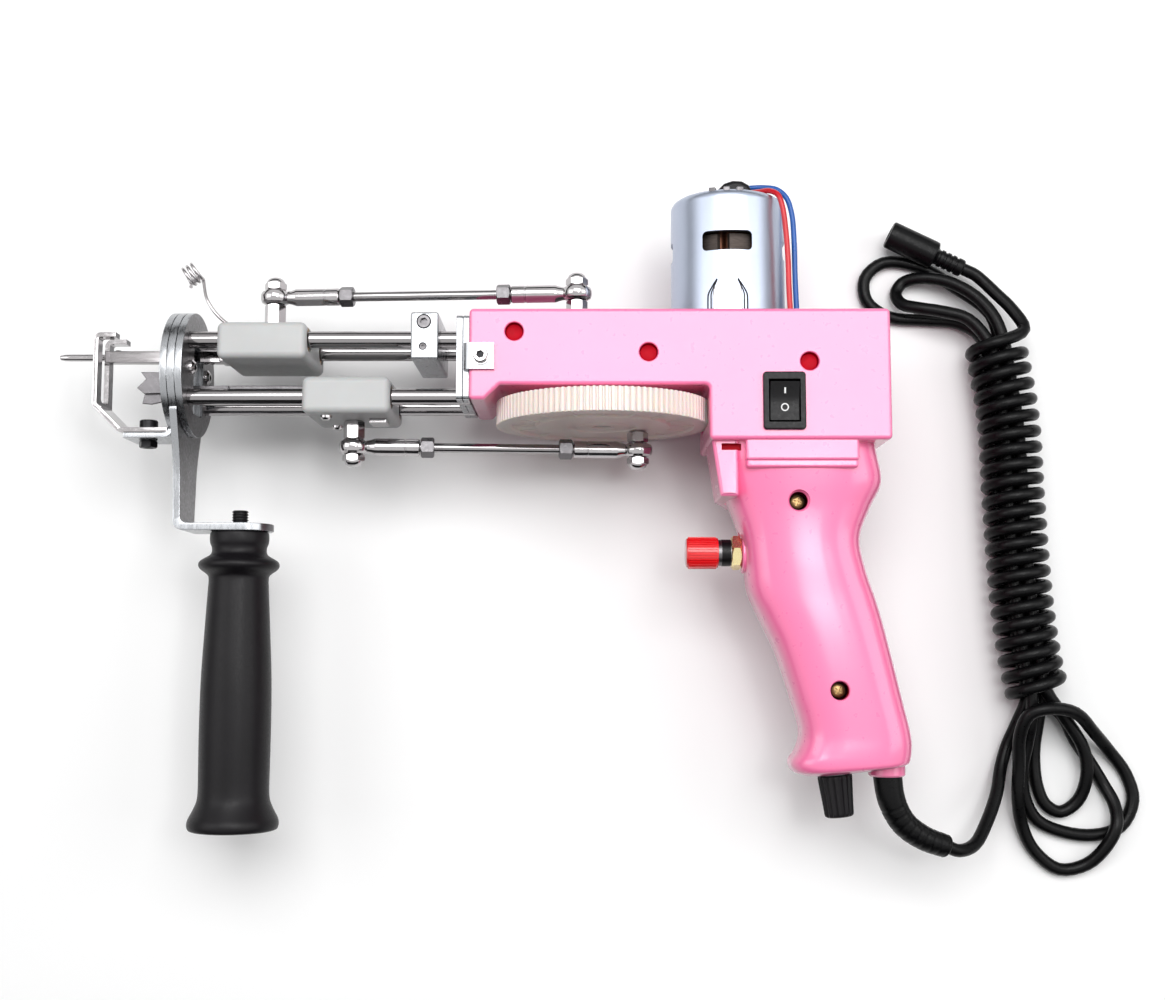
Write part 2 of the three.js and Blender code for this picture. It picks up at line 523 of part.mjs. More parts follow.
function toothed(teeth) {
  const pitch = (gear.module * teeth) / 2;
  const tip = pitch + gear.module * addendumShare;
  const root = pitch - gear.module * dedendumShare;
  const step = (2 * Math.PI) / teeth;
  const corners = [[-toothRootShare, root], [-toothTipShare, tip], [toothTipShare, tip], [toothRootShare, root]];
  return Array.from({ length: teeth }, (_, i) => {
    return corners.map(([share, radius]) => {
      const angle = step * (i + share / 2);
      return [radius * Math.cos(angle), radius * Math.sin(angle)];
    });
  }).flat();
}

node("drive_gear", cut(
  slab(toothed(gear.teeth), -gearTop, gearTop, "y"),
  bar(shaft.radius + fit.running, -gear.width, gear.width, facets.small, "y", 0, 0, 0),
  ring(gear.grooveInner, gear.grooveOuter, -gear.width, gear.groove - gearTop, facets.round, "y", 0, 0, 0),
), ivory);
node("gear_shaft", bar(shaft.radius, shaft.sunk - gearTop, crankTop - shaft.sunk, facets.small, "y", 0, 0, 0), steel);
[["lower_bearing", lowerSeat], ["upper_bearing", upperSeat]].forEach(([name, seat]) => {
  node(name, ring(shaft.radius + fit.running, bearing.radius, seat, seat + bearing.width, facets.small, "y", 0, 0, 0), steel);
});
node("crank_disc", ring(
  shaft.radius + fit.running, crank.radius, crankTop - crank.thickness, crankTop, facets.round, "y", 0, 0, 0,
), dullSteel);
node("motor_pinion", cut(
  join(
    slab(toothed(pinion.teeth), -pinion.width / 2, pinion.width / 2, "y").translate(motorX, 0, 0),
    bar(pinion.collar, 0, pinion.width / 2 + pinion.collarLength, facets.small, "y", motorX, 0, 0),
  ),
  bar(motor.shaft + fit.running, -pinion.width, pinion.width + pinion.collarLength, facets.small, "y", motorX, 0, 0),
), brass);

// Motor
const motorTop = motor.foot + motor.length;
const motorCan = turned([
  [motor.shaft + fit.touching, motor.foot - motor.bossLength], [motor.boss, motor.foot - motor.bossLength],
  [motor.boss, motor.foot], [motor.radius, motor.foot], [motor.radius, motorTop - motor.shoulder],
  [motor.radius - motor.shoulderStep, motorTop], [motor.mouth, motorTop], [motor.mouth, motorTop - motor.wall],
  [motor.radius - motor.shoulderStep - motor.wall, motorTop - motor.wall],
  [motor.radius - motor.wall, motorTop - motor.shoulder - motor.wall],
  [motor.radius - motor.wall, motor.foot + motor.wall], [motor.shaft + fit.touching, motor.foot + motor.wall],
  [motor.shaft + fit.touching, motor.foot - motor.bossLength],
], facets.round, "y", motorX, 0, 0);
const windowLow = motor.foot + motor.length * motorWindowShare;
const windowHigh = windowLow + motor.windowHeight;
const windowReach = motor.radius + fit.over;
node("motor_can", cut(
  motorCan,
  block(motorX - windowReach, motorX + windowReach, windowLow, windowHigh, -motor.window / 2, motor.window / 2),
  block(motorX - motor.window / 2, motorX + motor.window / 2, windowLow, windowHigh, -windowReach, windowReach),
), zinc);
const coreLow = motor.foot + motor.coreGap;
const spigotLow = motorTop - motor.spigotLength;
const coreHigh = spigotLow - motor.tail - motor.commutatorLength;
const shaftLow = -pinion.width / 2 - motor.tail;
node("motor_armature", turned([
  [0, shaftLow], [motor.shaft, shaftLow], [motor.shaft, coreLow], [motor.core, coreLow], [motor.core, coreHigh],
  [motor.commutator, coreHigh], [motor.commutator, coreHigh + motor.commutatorLength],
  [motor.shaft, coreHigh + motor.commutatorLength], [motor.shaft, motorTop - motor.tail], [0, motorTop - motor.tail],
], facets.small, "y", motorX, 0, 0), copper);
const bootX = motorX + motor.bootAside;
node("motor_end_cap", join(
  bar(motor.cap, motorTop, motorTop + motor.capHeight, facets.round, "y", motorX, 0, 0),
  ring(motor.shaft + fit.touching, motor.spigot, spigotLow, motorTop + motor.capHeight / 2, facets.small, "y", motorX, 0, 0),
  slab(
    rounded(bootX - motor.bootWidth / 2, bootX + motor.bootWidth / 2, -motor.bootDepth / 2, motor.bootDepth / 2, motor.edge),
    motorTop + motor.capHeight / 2, motorTop + motor.capHeight + motor.bootHeight, "y", motor.bootEase,
  ),
), softBlack);
const wireLow = motor.foot + wire.end;
const wireHigh = motorTop + motor.capHeight + wire.rise;
[["wire_blue", blueShares, blue], ["wire_red", redShares, red]].forEach(([name, shares, paint]) => {
  const line = through(shares.map(([behind, up, out]) => [motorX + behind, wireLow + up * (wireHigh - wireLow), out]));
  node(name, tube(line, wire.radius, facets.wire, facets.wireSteps), paint);
});

// Plates, rails and head
const platesMiddle = -casing.ahead - plate.thickness;
const headLow = rearDiscX - head.rear;
function railBars(radius, low, high, heights) {
  return heights.flatMap((y) => [-rail.aside, rail.aside].map((z) => bar(radius, low, high, facets.small, "x", 0, y, z)));
}
const railHeights = [rail.upper, rail.lower];
const plateOutline = rounded(plate.bottom, plate.top, -plate.half, plate.half, plate.corner);
const loose = rail.radius + fit.running;
node("outer_plate", cut(
  slab(plateOutline, platesFront, platesMiddle, "x"), ...railBars(loose, platesFront - fit.over, -casing.ahead, railHeights),
), aluminium);
node("inner_plate", cut(
  join(
    slab(plateOutline, platesMiddle, -casing.ahead, "x"),
    block(platesMiddle, -casing.ahead, ear.low, ear.high, plate.half - plate.corner, casing.half + ear.thickness),
    block(platesMiddle, -casing.ahead + ear.length, ear.low, ear.high, casing.half, casing.half + ear.thickness),
  ),
  ...railBars(loose, platesFront, -casing.ahead + fit.over, railHeights),
  bar(earScrew.shank + fit.touching, casing.half - fit.over, casing.half + fit.over, facets.tiny, "z",
    -casing.ahead + earScrew.along, (ear.low + ear.high) / 2, 0),
), aluminium);
const earFace = casing.half + ear.thickness;
node("tab_screw", turned([
  [0, earFace - earScrew.length], [earScrew.shank, earFace - earScrew.length], [earScrew.shank, earFace],
  [earScrew.head, earFace], [earScrew.head, earFace + earScrew.headHeight / 2],
  [earScrew.head - earScrew.headHeight / 2, earFace + earScrew.headHeight], [0, earFace + earScrew.headHeight],
], facets.tiny, "z", -casing.ahead + earScrew.along, (ear.low + ear.high) / 2, 0), dullSteel);
railBars(rail.radius, headLow, -casing.ahead, railHeights).forEach((geometry, i) => {
  node(`guide_rod_${i + 1}`, geometry, steel);
});
const windowRoom = (x0, x1) => block(x0, x1, head.windowLow, head.windowHigh, -head.windowHalf, head.windowHalf);
const headRound = (x0, x1) => bar(head.radius, x0, x1, facets.round, "x", 0, head.centre, 0);
const middleX = headLow - head.middle;
const frontX = middleX - head.front;
const pivotX = frontX - scissor.pivotAhead;
node("rear_disc", cut(
  headRound(headLow, rearDiscX), windowRoom(headLow - fit.over, rearDiscX + fit.over),
  ...railBars(loose, headLow - fit.over, rearDiscX + fit.over, railHeights),
), aluminium);
const handleX = middleX + handle.ahead;
const plateTop = -bracket.foot + head.middle;
node("handle_bracket", cut(
  join(
    headRound(middleX, headLow),
    slab([
      [bracket.shoulder, -bracket.shoulderHalf], [bracket.shoulder, bracket.shoulderHalf],
      [-bracket.knee, bracket.kneeHalf], [-bracket.foot, bracket.legHalf], [-bracket.foot, -bracket.legHalf],
      [-bracket.knee, -bracket.kneeHalf],
    ], middleX, headLow, "x"),
    block(middleX, middleX + bracket.footLength, -bracket.foot, plateTop, -bracket.legHalf, bracket.legHalf),
  ),
  windowRoom(middleX - fit.over, headLow + fit.over),
  bar(stud.radius + fit.running, -bracket.foot - fit.over, plateTop + fit.over, facets.small, "y", handleX, 0, 0),
), aluminium);
const screwX = frontX - footScrew.ahead;
node("front_disc", cut(
  join(
    headRound(frontX, middleX),
    block(frontX - arm.length, middleX, armTop - arm.thickness, armTop, -arm.half, arm.half),
    block(frontX, middleX, armTop - arm.thickness, armTop - arm.thickness + arm.root, -arm.half, arm.half),
  ),
  windowRoom(frontX - fit.over, middleX + fit.over),
  bar(footScrew.shank + fit.running, armTop - fit.over, armTop + fit.over, facets.tiny, "y", screwX, 0, 0),
), aluminium);
const footLow = armTop + fit.running;
const footTop = footLow + foot.thickness;
const footScrewTop = footTop + fit.running;
const nutTop = armTop - arm.thickness;
node("foot_screw", join(
  bar(footScrew.shank, nutTop - footScrew.nutHeight, footScrewTop + footScrew.headHeight / 2, facets.tiny, "y", screwX, 0, 0),
  bar(footScrew.head, footScrewTop, footScrewTop + footScrew.headHeight, facets.small, "y", screwX, 0, 0),
  bar(footScrew.nut, nutTop - footScrew.nutHeight, nutTop, facets.hex, "y", screwX, 0, 0),
), dullSteel);
const footX = frontX - foot.reach;
const footBend = foot.forkLow - foot.thickness;
const footRun = footBend - footLow;
const footEase = foot.thickness * Math.tan(Math.PI / 8);
const slotHalf = footScrew.shank + foot.slotGap;
node("presser_foot", cut(
  slab([
    [footX, foot.top], [footX, footBend], [footX + footRun, footLow], [frontX - foot.gap, footLow],
    [frontX - foot.gap, footTop], [footX + footRun + footEase, footTop],
    [footX + foot.thickness, footBend + footEase], [footX + foot.thickness, foot.top - foot.thickness],
    [footX + foot.tab, foot.top - foot.thickness], [footX + foot.tab, foot.top],
  ], -foot.half, foot.half, "z"),
  block(footX - fit.over, footX + foot.tab + fit.over, foot.forkLow, foot.top + fit.over, -foot.forkHalf, foot.forkHalf),
  block(screwX - slotHalf, screwX + foot.travel + slotHalf, footLow - fit.over, footTop + fit.over, -slotHalf, slotHalf),
), steel);

// Carriages
function carriage(size, studX, railY) {
  const low = studX - size.ahead;
  const high = studX + size.behind;
  return cut(
    slab(rounded(railY - size.below, railY + size.above, -size.half, size.half, size.round), low, high, "x", size.edge),
    ...railBars(loose, low - fit.over, high + fit.over, [railY]),
    bar(link.pin + fit.touching, -link.spigot - fit.touching, link.spigot + fit.touching, facets.tiny, "y",
      studX, railY === rail.upper ? upperTop : lowerBottom, 0),
  );
}
node("upper_carriage", carriage(upperCarriage, upperStudX, rail.upper), nylon);
node("lower_carriage", carriage(lowerCarriage, lowerStudX, rail.lower), nylon);
const upperFront = upperStudX - upperCarriage.ahead;
const lowerFront = lowerStudX - lowerCarriage.ahead;
const needleBarX = frontX - needle.barFront;
node("needle_bar", cut(
  join(
    block(needleBarX, upperFront, needle.height - needle.barHalf, needle.height + needle.barHalf,
      -needle.barHalf, needle.barHalf),
    block(upperFront - needle.flangeThickness, upperFront, needle.height - needle.barHalf,
      needle.height + needle.flange, -needle.flange, needle.flange),
  ),
  bar(needle.radius + fit.running, needleBarX - fit.over, needleBarX + needle.seat + fit.touching, facets.tiny, "x", 0,
    needle.height, 0),
), steel);
node("needle", turned([
  [0, needleBarX - needle.length], [needle.point, needleBarX - needle.length],
  [needle.radius, needleBarX - needle.length + needle.tip], [needle.radius, needleBarX + needle.seat],
  [0, needleBarX + needle.seat],
], facets.tiny, "x", 0, needle.height, 0), steel);

// Scissors
node("scissor_bar", join(
  block(pivotX + scissorBar.behind, lowerFront, scissorBar.low, scissorBar.high, -scissorBar.thickness, 0),
  block(lowerFront - scissorBar.flangeThickness, lowerFront, scissorBar.low - scissorBar.flangeHalf,
    scissorBar.high, -scissorBar.flangeHalf, scissorBar.flangeHalf),
), steel);
const bladeLow = scissor.gap / 2;
const bladeHigh = bladeLow + scissor.thickness;
const tangY = (scissorBar.low + scissorBar.high) / 2 - scissor.pivotHeight;
const rivetLow = -bladeHigh - scissor.gap - scissor.rivetHeight;
const rivetHigh = bladeHigh + scissor.rivetHeight;
node("fixed_blade", join(
  slab([
    [-scissor.blade, scissor.tipRise], [-scissor.blade, scissor.tipRise - scissor.tip], [0, -scissor.tip],
    [scissor.tangNeck, tangY - scissor.tangHalf], [scissor.tang, tangY - scissor.tangHalf],
    [scissor.tang, tangY + scissor.tangHalf], [scissor.tangNeck, tangY + scissor.tangHalf], [0, scissor.bladeRoot],
  ], bladeLow, bladeHigh, "z"),
  bar(scissor.hub, bladeLow, bladeHigh, facets.small, "z", 0, 0, 0),
  bar(scissor.pin, rivetLow, bladeHigh, facets.tiny, "z", 0, 0, 0),
  bar(scissor.rivet, rivetLow, rivetLow + scissor.rivetHeight, facets.tiny, "z", 0, 0, 0),
  bar(scissor.rivet, bladeLow, rivetHigh, facets.tiny, "z", 0, 0, 0),
).translate(pivotX, scissor.pivotHeight, 0), steel);
const opening = THREE.MathUtils.degToRad(scissor.open);
node("moving_blade", cut(
  join(
    slab([
      [-scissor.blade, -scissor.tipRise], [0, -scissor.bladeRoot], [0, scissor.tip],
      [-scissor.blade, scissor.tip - scissor.tipRise],
    ], -bladeHigh, -bladeLow, "z").rotateZ(opening),
    slab([
      [0, -scissor.tailHalf], [scissor.tail, -scissor.tailDrop - scissor.tailHalf],
      [scissor.tail, scissor.tailHalf - scissor.tailDrop], [0, scissor.tailHalf],
    ], -bladeHigh, -bladeLow, "z"),
    bar(scissor.hub, -bladeHigh, -bladeLow, facets.small, "z", 0, 0, 0),
  ),
  bar(scissor.pin + fit.running, -bladeHigh - fit.over, fit.over, facets.tiny, "z", 0, 0, 0),
).translate(pivotX, scissor.pivotHeight, 0), steel);

// Linkage
function eyeEnd() {
  const half = link.eyeHeight / 2;
  const flat = link.eye - link.eyeEdge;
  const lug = turned([
    [link.bore, -half], [flat, -half], [link.eye, link.eyeEdge - half], [link.eye, half - link.eyeEdge], [flat, half],
    [link.bore, half], [link.bore, -half],
  ], facets.small, "y", 0, 0, 0);
  const shank = turned([
    [0, link.neck], [link.neckRadius, link.neck], [link.shank, link.shankStart], [link.shank, link.shankEnd],
    [0, link.shankEnd],
  ], facets.tiny, "x", 0, 0, 0);
  return cut(
    join(lug, shank),
    bar(link.rod + fit.running, link.shankEnd - link.rodDepth, link.shankEnd + fit.over, facets.tiny, "x", 0, 0, 0),
  );
}
function linkRod(length) {
  const nutLow = link.shankEnd + fit.touching;
  const rodLow = link.shankEnd - link.rodDepth + fit.touching;
  return join(
    bar(link.rod, rodLow, length - rodLow, facets.tiny, "x", 0, 0, 0),
    bar(link.lockNut, nutLow, nutLow + link.lockNutLength, facets.hex, "x", 0, 0, 0),
    bar(link.lockNut, length - nutLow - link.lockNutLength, length - nutLow, facets.hex, "x", 0, 0, 0),
  );
}
// A stud from a face up through an eye, with its domed nut on top.
function linkStud(faceY, eyeY, spigot) {
  const seat = eyeY - link.eyeHeight / 2 - link.gap;
  const nutLow = eyeY + link.eyeHeight / 2 + link.gap;
  const nutHigh = nutLow + link.nutHeight;
  return join(
    bar(link.foot, faceY, seat, facets.hex, "y", 0, 0, 0),
    bar(link.pin, faceY - spigot, nutHigh, facets.tiny, "y", 0, 0, 0),
    bar(link.nut, nutLow, nutHigh, facets.hex, "y", 0, 0, 0),
    turned([
      [0, nutHigh - link.domeTop], [link.nut * domeShare, nutHigh - link.domeTop], [link.nut * domeShare, nutHigh],
      [link.domeTop, nutHigh + link.dome], [0, nutHigh + link.dome],
    ], facets.tiny, "y", 0, 0, 0),
  );
}
[
  ["upper", upperStudX, upperPin, upperLength, upperLinkY, upperTop, crankTop, 1],
  ["lower", lowerStudX, lowerPin, lowerLength, lowerLinkY, lowerBottom, -gearTop, -1],
].forEach(([side, studX, pin, length, eyeY, frontFace, rearFace, up]) => {
  const swing = Math.asin(pin[1] / length);
  const lay = (geometry) => geometry.rotateY(-swing).translate(studX, eyeY, 0);
  node(`${side}_front_end`, lay(eyeEnd()), steel);
  node(`${side}_link_rod`, lay(linkRod(length)), dullSteel);
  node(`${side}_rear_end`, lay(eyeEnd().rotateY(Math.PI).translate(length, 0, 0)), steel);
  const stand = (face, spigot) => linkStud(up * face, up * eyeY, spigot).scale(1, up, 1);
  node(`${side}_front_stud`, stand(frontFace, link.spigot).translate(studX, 0, 0), steel);
  node(`${side}_rear_stud`, stand(rearFace + up * link.clear, 0).translate(pin[0], 0, pin[1]), steel);
});

// Yarn guide, one wire: round its stud, forward along the carriage and up into an open coil.
const lean = THREE.MathUtils.degToRad(guide.lean);
const coilAxis = new THREE.Vector3(Math.cos(lean), Math.sin(lean), 0);
const coilSide = new THREE.Vector3(-Math.sin(lean), Math.cos(lean), 0);
const guideLine = [
  ...arc(0, 0, guide.eye, -Math.PI / 2, Math.PI / 2, facets.guideEye).map(([ahead, out]) => [ahead, guide.above, out]),
  ...guideStemShares.map(([ahead, above, out]) => [-ahead * guide.reach, above * guide.rise, out * guide.eye]),
  ...Array.from({ length: guide.turns * facets.guideTurn + 1 }, (_, i) => {
    const angle = (2 * Math.PI * i) / facets.guideTurn - Math.PI / 2;
    const along = guide.pitch * (guide.turns / 2 - i / facets.guideTurn);
    const place = coilSide.clone().multiplyScalar(guide.coil * Math.sin(angle)).addScaledVector(coilAxis, along);
    return [place.x - guide.reach, place.y + guide.rise, guide.coil * Math.cos(angle)];
  }),
].map(([x, y, z]) => new THREE.Vector3(upperStudX + x, upperTop + y, z));
node("yarn_guide", swept(guideLine, guideLine.map(() => guide.wire), facets.guide), steel);

// Stop block, across the upper rails
const stopX = platesFront - stop.ahead;
node("stop_block", cut(
  slab([
    [stopX, stop.bottom], [stopX + stop.length, stop.bottom], [stopX + stop.length, stop.top], [stopX, stop.top],
  ], -stop.half, stop.half, "z", stop.edge),
  ...railBars(loose, stopX - fit.over, stopX + stop.length + fit.over, [rail.upper]),
), aluminium);

// Front handle
const handleTop = -bracket.foot;
node("front_handle", turned([
  [0, -handle.boreDepth], [handle.bore, -handle.boreDepth], [handle.bore, 0], [handle.neck, 0],
  [handle.neck, -handle.neckEnd], [handle.collar - handle.edge, -handle.collarStart],
  [handle.collar, -handle.collarStart - handle.edge], [handle.collar, handle.edge - handle.collarEnd],
  [handle.collar - handle.edge, -handle.collarEnd], [handle.top, -handle.topEnd], [handle.waist, -handle.waistEnd],
  [handle.belly, -handle.bellyEnd], [handle.flare, -handle.flareStart], [handle.flare, handle.edge - handle.length],
  [handle.flare - handle.edge, -handle.length], [0, -handle.length],
], facets.round, "y", handleX, handleTop, 0), softBlack);
node("handle_stud", bar(
  stud.radius, handleTop - stud.depth, plateTop + stud.above, facets.small, "y", handleX, 0, 0,
), steel);

// Switch
const rockerFace = casing.half + rocker.proud;
const rockerFloor = casing.half - rocker.depth;
node("rocker_frame", cut(
  join(
    slab(rounded(
      rocker.behind - rocker.width / 2, rocker.behind + rocker.width / 2,
      rocker.above - rocker.height / 2, rocker.above + rocker.height / 2, rocker.proud,
    ), casing.half, rockerFace, "z", rocker.edge),
    block(rocker.behind - rocker.bodyWidth / 2, rocker.behind + rocker.bodyWidth / 2,
      rocker.above - rocker.bodyHeight / 2, rocker.above + rocker.bodyHeight / 2,
      rockerFloor, casing.half + rocker.edge),
  ),
  block(rocker.behind - rocker.openWidth / 2, rocker.behind + rocker.openWidth / 2,
    rocker.above - rocker.openHeight / 2, rocker.above + rocker.openHeight / 2,
    rockerFloor + rocker.floor, rockerFace + fit.over),
), black);
node("rocker", slab([
  [-rocker.keyHalf, -rocker.skirt], [-rocker.keyHalf, rocker.keyTop], [0, rocker.keyTop - rocker.dip],
  [rocker.keyHalf, rocker.keyTop], [rocker.keyHalf, -rocker.skirt], [rocker.keyFoot, -rocker.keyDepth],
  [-rocker.keyFoot, -rocker.keyDepth],
], -rocker.keyWidth / 2, rocker.keyWidth / 2, "x", rocker.edge)
  .rotateX(THREE.MathUtils.degToRad(rocker.tilt))
  .translate(rocker.behind, rocker.above, rockerFace - rocker.pivotDrop), black);

// Trigger
const triggerY = -trigger.below;
node("trigger_barrel", cut(
  join(
    bar(trigger.barrel, trigger.barrelFront, trigger.barrelEnd, facets.small, "x", 0, triggerY, 0),
    bar(trigger.nut, trigger.seat - trigger.nutLength, trigger.seat, facets.hex, "x", 0, triggerY, 0),
  ),
  bar(trigger.stem + fit.touching, trigger.barrelFront - fit.over, trigger.barrelFront + trigger.bore, facets.tiny, "x",
    0, triggerY, 0),
), brass);
const capFace = trigger.front + trigger.capFace;
const capEnd = trigger.front + trigger.capLength;
node("trigger_button", turned([
  [0, trigger.front], [trigger.cap - trigger.capEdge, trigger.front], [trigger.cap, trigger.front + trigger.capEdge],
  [trigger.cap, capEnd], [trigger.cap - trigger.capWall, capEnd], [trigger.cap - trigger.capWall, capFace],
  [trigger.stem, capFace], [trigger.stem, capFace + trigger.stemLength], [0, capFace + trigger.stemLength],
], facets.small, "x", 0, triggerY, 0), red);

// Speed knob under the grip
node("speed_knob", turned([
  [0, -knob.gap - knob.length], [knob.tip - knob.edge, -knob.gap - knob.length],
  [knob.tip, knob.edge - knob.gap - knob.length], [knob.radius, -knob.gap], [knob.stem, -knob.gap],
  [knob.stem, knob.stemLength], [0, knob.stemLength],
], facets.small, "y", 0, 0, 0).rotateZ(gripSlope).translate(knobFoot[0], knobFoot[1], 0), black);

// Cord

// A hand-picked place over the table as a point.
function placed([x, y, height]) {
  return new THREE.Vector3(x, y, height + tableZ);
}
// Moves the first point a little towards the second, so that two cord pieces meet without sharing a face.
function eased(points) {
  const step = points[1].clone().sub(points[0]).setLength(fit.touching / 2);
  return [points[0].clone().add(step), ...points.slice(1)];
}
const sleeveLine = new THREE.CatmullRomCurve3(sleeveRoute.map(placed), false, "centripetal").getPoints(facets.sleeveSteps);
const sleeveRadii = sleeveLine.map((_, i) => {
  const share = Math.max(0, i / facets.sleeveSteps - sleeveStraightShare) / (1 - sleeveStraightShare);
  return THREE.MathUtils.lerp(cord.sleeve, cord.sleeveTip, share);
});
const sleeveBack = eased(sleeveLine.toReversed()).toReversed();
node("cord_sleeve", swept(sleeveBack, sleeveRadii, facets.sleeve), softBlack, cordGroup);
const leadLine = eased(eased(leadRoute.map(placed)).toReversed()).toReversed();
const leadCurve = new THREE.CatmullRomCurve3(leadLine, false, "centripetal");
node("cord_lead", swept(leadCurve.getPoints(facets.cordSteps), Array(facets.cordSteps + 1).fill(cord.radius), facets.cord), softBlack, cordGroup);

// The hank: one unbroken cord, four strands up and down inside a close wrap, with its folds at both ends.
const axisCurve = new THREE.CatmullRomCurve3(hankAxis.map(placed), false, "centripetal");
const upwards = new THREE.Vector3(0, 0, 1);
function aboutAxis(share, aside, above) {
  const side = axisCurve.getTangentAt(share).cross(upwards).normalize();
  return axisCurve.getPointAt(share).addScaledVector(side, aside).addScaledVector(upwards, above);
}
function strand(aside, above, upward) {
  return strandShares.map((share) => aboutAxis(upward ? share : 1 - share, aside, above));
}
const wrapSteps = Math.round(hank.turns * facets.hankTurn);
const wrapLine = Array.from({ length: wrapSteps + 1 }, (_, i) => {
  const angle = -Math.PI / 2 - (2 * Math.PI * i) / facets.hankTurn;
  return aboutAxis(i / wrapSteps, hank.wrap * Math.cos(angle), hank.wrap * Math.sin(angle));
});
const folds = [
  ...eased(hankStart.map(placed)), ...strand(-hank.aside, -hank.aside, true), ...foldA.map(placed),
  ...strand(hank.aside, -hank.aside, false), ...loopA.map(placed), ...strand(hank.aside, hank.aside, true),
  ...foldB.map(placed), ...strand(-hank.aside, hank.aside, false), ...loopB.map(placed), ...loopC.map(placed),
  ...wrapLine.slice(0, 2),
];
const exit = [...wrapLine.slice(-2), ...eased(hankExit.map(placed).toReversed()).toReversed()];
function smooth(points, steps) {
  return new THREE.CatmullRomCurve3(points, false, "centripetal").getPoints((points.length - 1) * steps);
}
const hankLine = [
  ...smooth(folds, facets.hankBend).slice(0, -facets.hankBend), ...wrapLine.slice(1, -2),
  ...smooth(exit, facets.hankBend),
];
node("cord_hank", swept(hankLine, hankLine.map(() => cord.radius), facets.hank), softBlack, cordGroup);
const hankCurve = new THREE.CatmullRomCurve3(hankLine, false, "centripetal");
function leastGap(points, apart, radius) {
  let least = Infinity;
  let where = [0, 0];
  for (let i = 0; i < points.length; i++) {
    for (let j = i + apart; j < points.length; j++) {
      const distance = points[i].distanceTo(points[j]);
      if (distance >= least) continue;
      least = distance;
      where = [i, j];
    }
  }
  return [least - 2 * radius, ...where.map((i) => points[i].toArray().map((value) => Math.round(value)))];
}
let hankLength = 0;
for (let i = 1; i < hankLine.length; i++) hankLength += hankLine[i].distanceTo(hankLine[i - 1]);
const samples = Math.ceil(hankLength / hank.measureStep);
const measured = hankCurve.getSpacedPoints(samples);
const [gap, first, second] = leastGap(measured, Math.ceil(hank.apart / hank.measureStep), cord.radius);
console.log(`hank: length ${hankLength.toFixed(0)} mm, least gap to itself ${gap.toFixed(2)} mm at ${first} and ${second}`);
if (gap < hank.leastGap) console.log(`hank: gap is under ${hank.leastGap} mm`);
console.log(`lead: length ${leadCurve.getLength().toFixed(0)} mm`);

// Connector on the free end, lying along the cord's last stretch
const connectorEnd = placed(hankExit.at(-1));
const connectorWay = connectorEnd.clone().sub(placed(hankExit.at(-2)));
const connectorLength = connector.reliefLength + connector.barrel;
node("cord_connector", turned([
  [0, fit.touching], [connector.relief, fit.touching], [connector.relief, connector.reliefLength],
  [connector.radius - connector.edge, connector.reliefLength],
  [connector.radius, connector.reliefLength + connector.edge], [connector.radius, connectorLength],
  [connector.mouth, connectorLength], [connector.mouth, connectorLength - connector.mouthDepth],
  [0, connectorLength - connector.mouthDepth],
], facets.small, "x", 0, 0, 0)
  .rotateZ(Math.atan2(connectorWay.y, connectorWay.x))
  .translate(connectorEnd.x, connectorEnd.y, connectorEnd.z), softBlack, cordGroup);

// The machine stands on its gear's rim, with its middle over the origin.
const box = new THREE.Box3().setFromObject(machine);
const centre = box.getCenter(new THREE.Vector3());
const part = new THREE.Group();
part.add(...machine.children, ...cordGroup.children);
part.children.forEach((mesh) => mesh.geometry.translate(-centre.x, -centre.y, -box.min.z));
console.log(`moved by ${[-centre.x, -centre.y, -box.min.z].map((value) => value.toFixed(4))}`);
export default part;
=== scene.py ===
"""Looks of a handheld tufting machine, lying on its side with its cord bound in a hank."""

import json
import math

import bmesh
import bpy
from bpy.props import FloatProperty, FloatVectorProperty, IntProperty, PointerProperty
from mathutils import Matrix, Vector


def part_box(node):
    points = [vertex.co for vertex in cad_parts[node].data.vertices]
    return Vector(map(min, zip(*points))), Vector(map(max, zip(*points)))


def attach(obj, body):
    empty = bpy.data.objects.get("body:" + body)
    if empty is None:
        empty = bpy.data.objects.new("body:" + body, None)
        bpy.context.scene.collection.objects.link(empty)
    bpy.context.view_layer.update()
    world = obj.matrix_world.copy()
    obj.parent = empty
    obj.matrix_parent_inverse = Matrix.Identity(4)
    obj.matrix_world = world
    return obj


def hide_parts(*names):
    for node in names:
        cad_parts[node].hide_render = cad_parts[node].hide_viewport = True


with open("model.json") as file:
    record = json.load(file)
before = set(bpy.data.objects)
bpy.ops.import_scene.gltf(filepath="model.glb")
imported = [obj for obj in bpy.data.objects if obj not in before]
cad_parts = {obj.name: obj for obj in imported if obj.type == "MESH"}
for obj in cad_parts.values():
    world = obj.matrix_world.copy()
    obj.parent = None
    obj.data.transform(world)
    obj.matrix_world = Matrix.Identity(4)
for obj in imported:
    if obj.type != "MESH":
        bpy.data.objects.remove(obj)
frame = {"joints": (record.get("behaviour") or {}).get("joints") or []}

bl_info = {
    "name": "Tufting machine looks",
    "version": (1, 0, 0),
    "blender": (4, 5, 0),
    "location": "3D View > Sidebar > Tufting",
    "description": "Builds the shapes and finishes of a handheld tufting machine around its frame",
    "category": "Object",
}

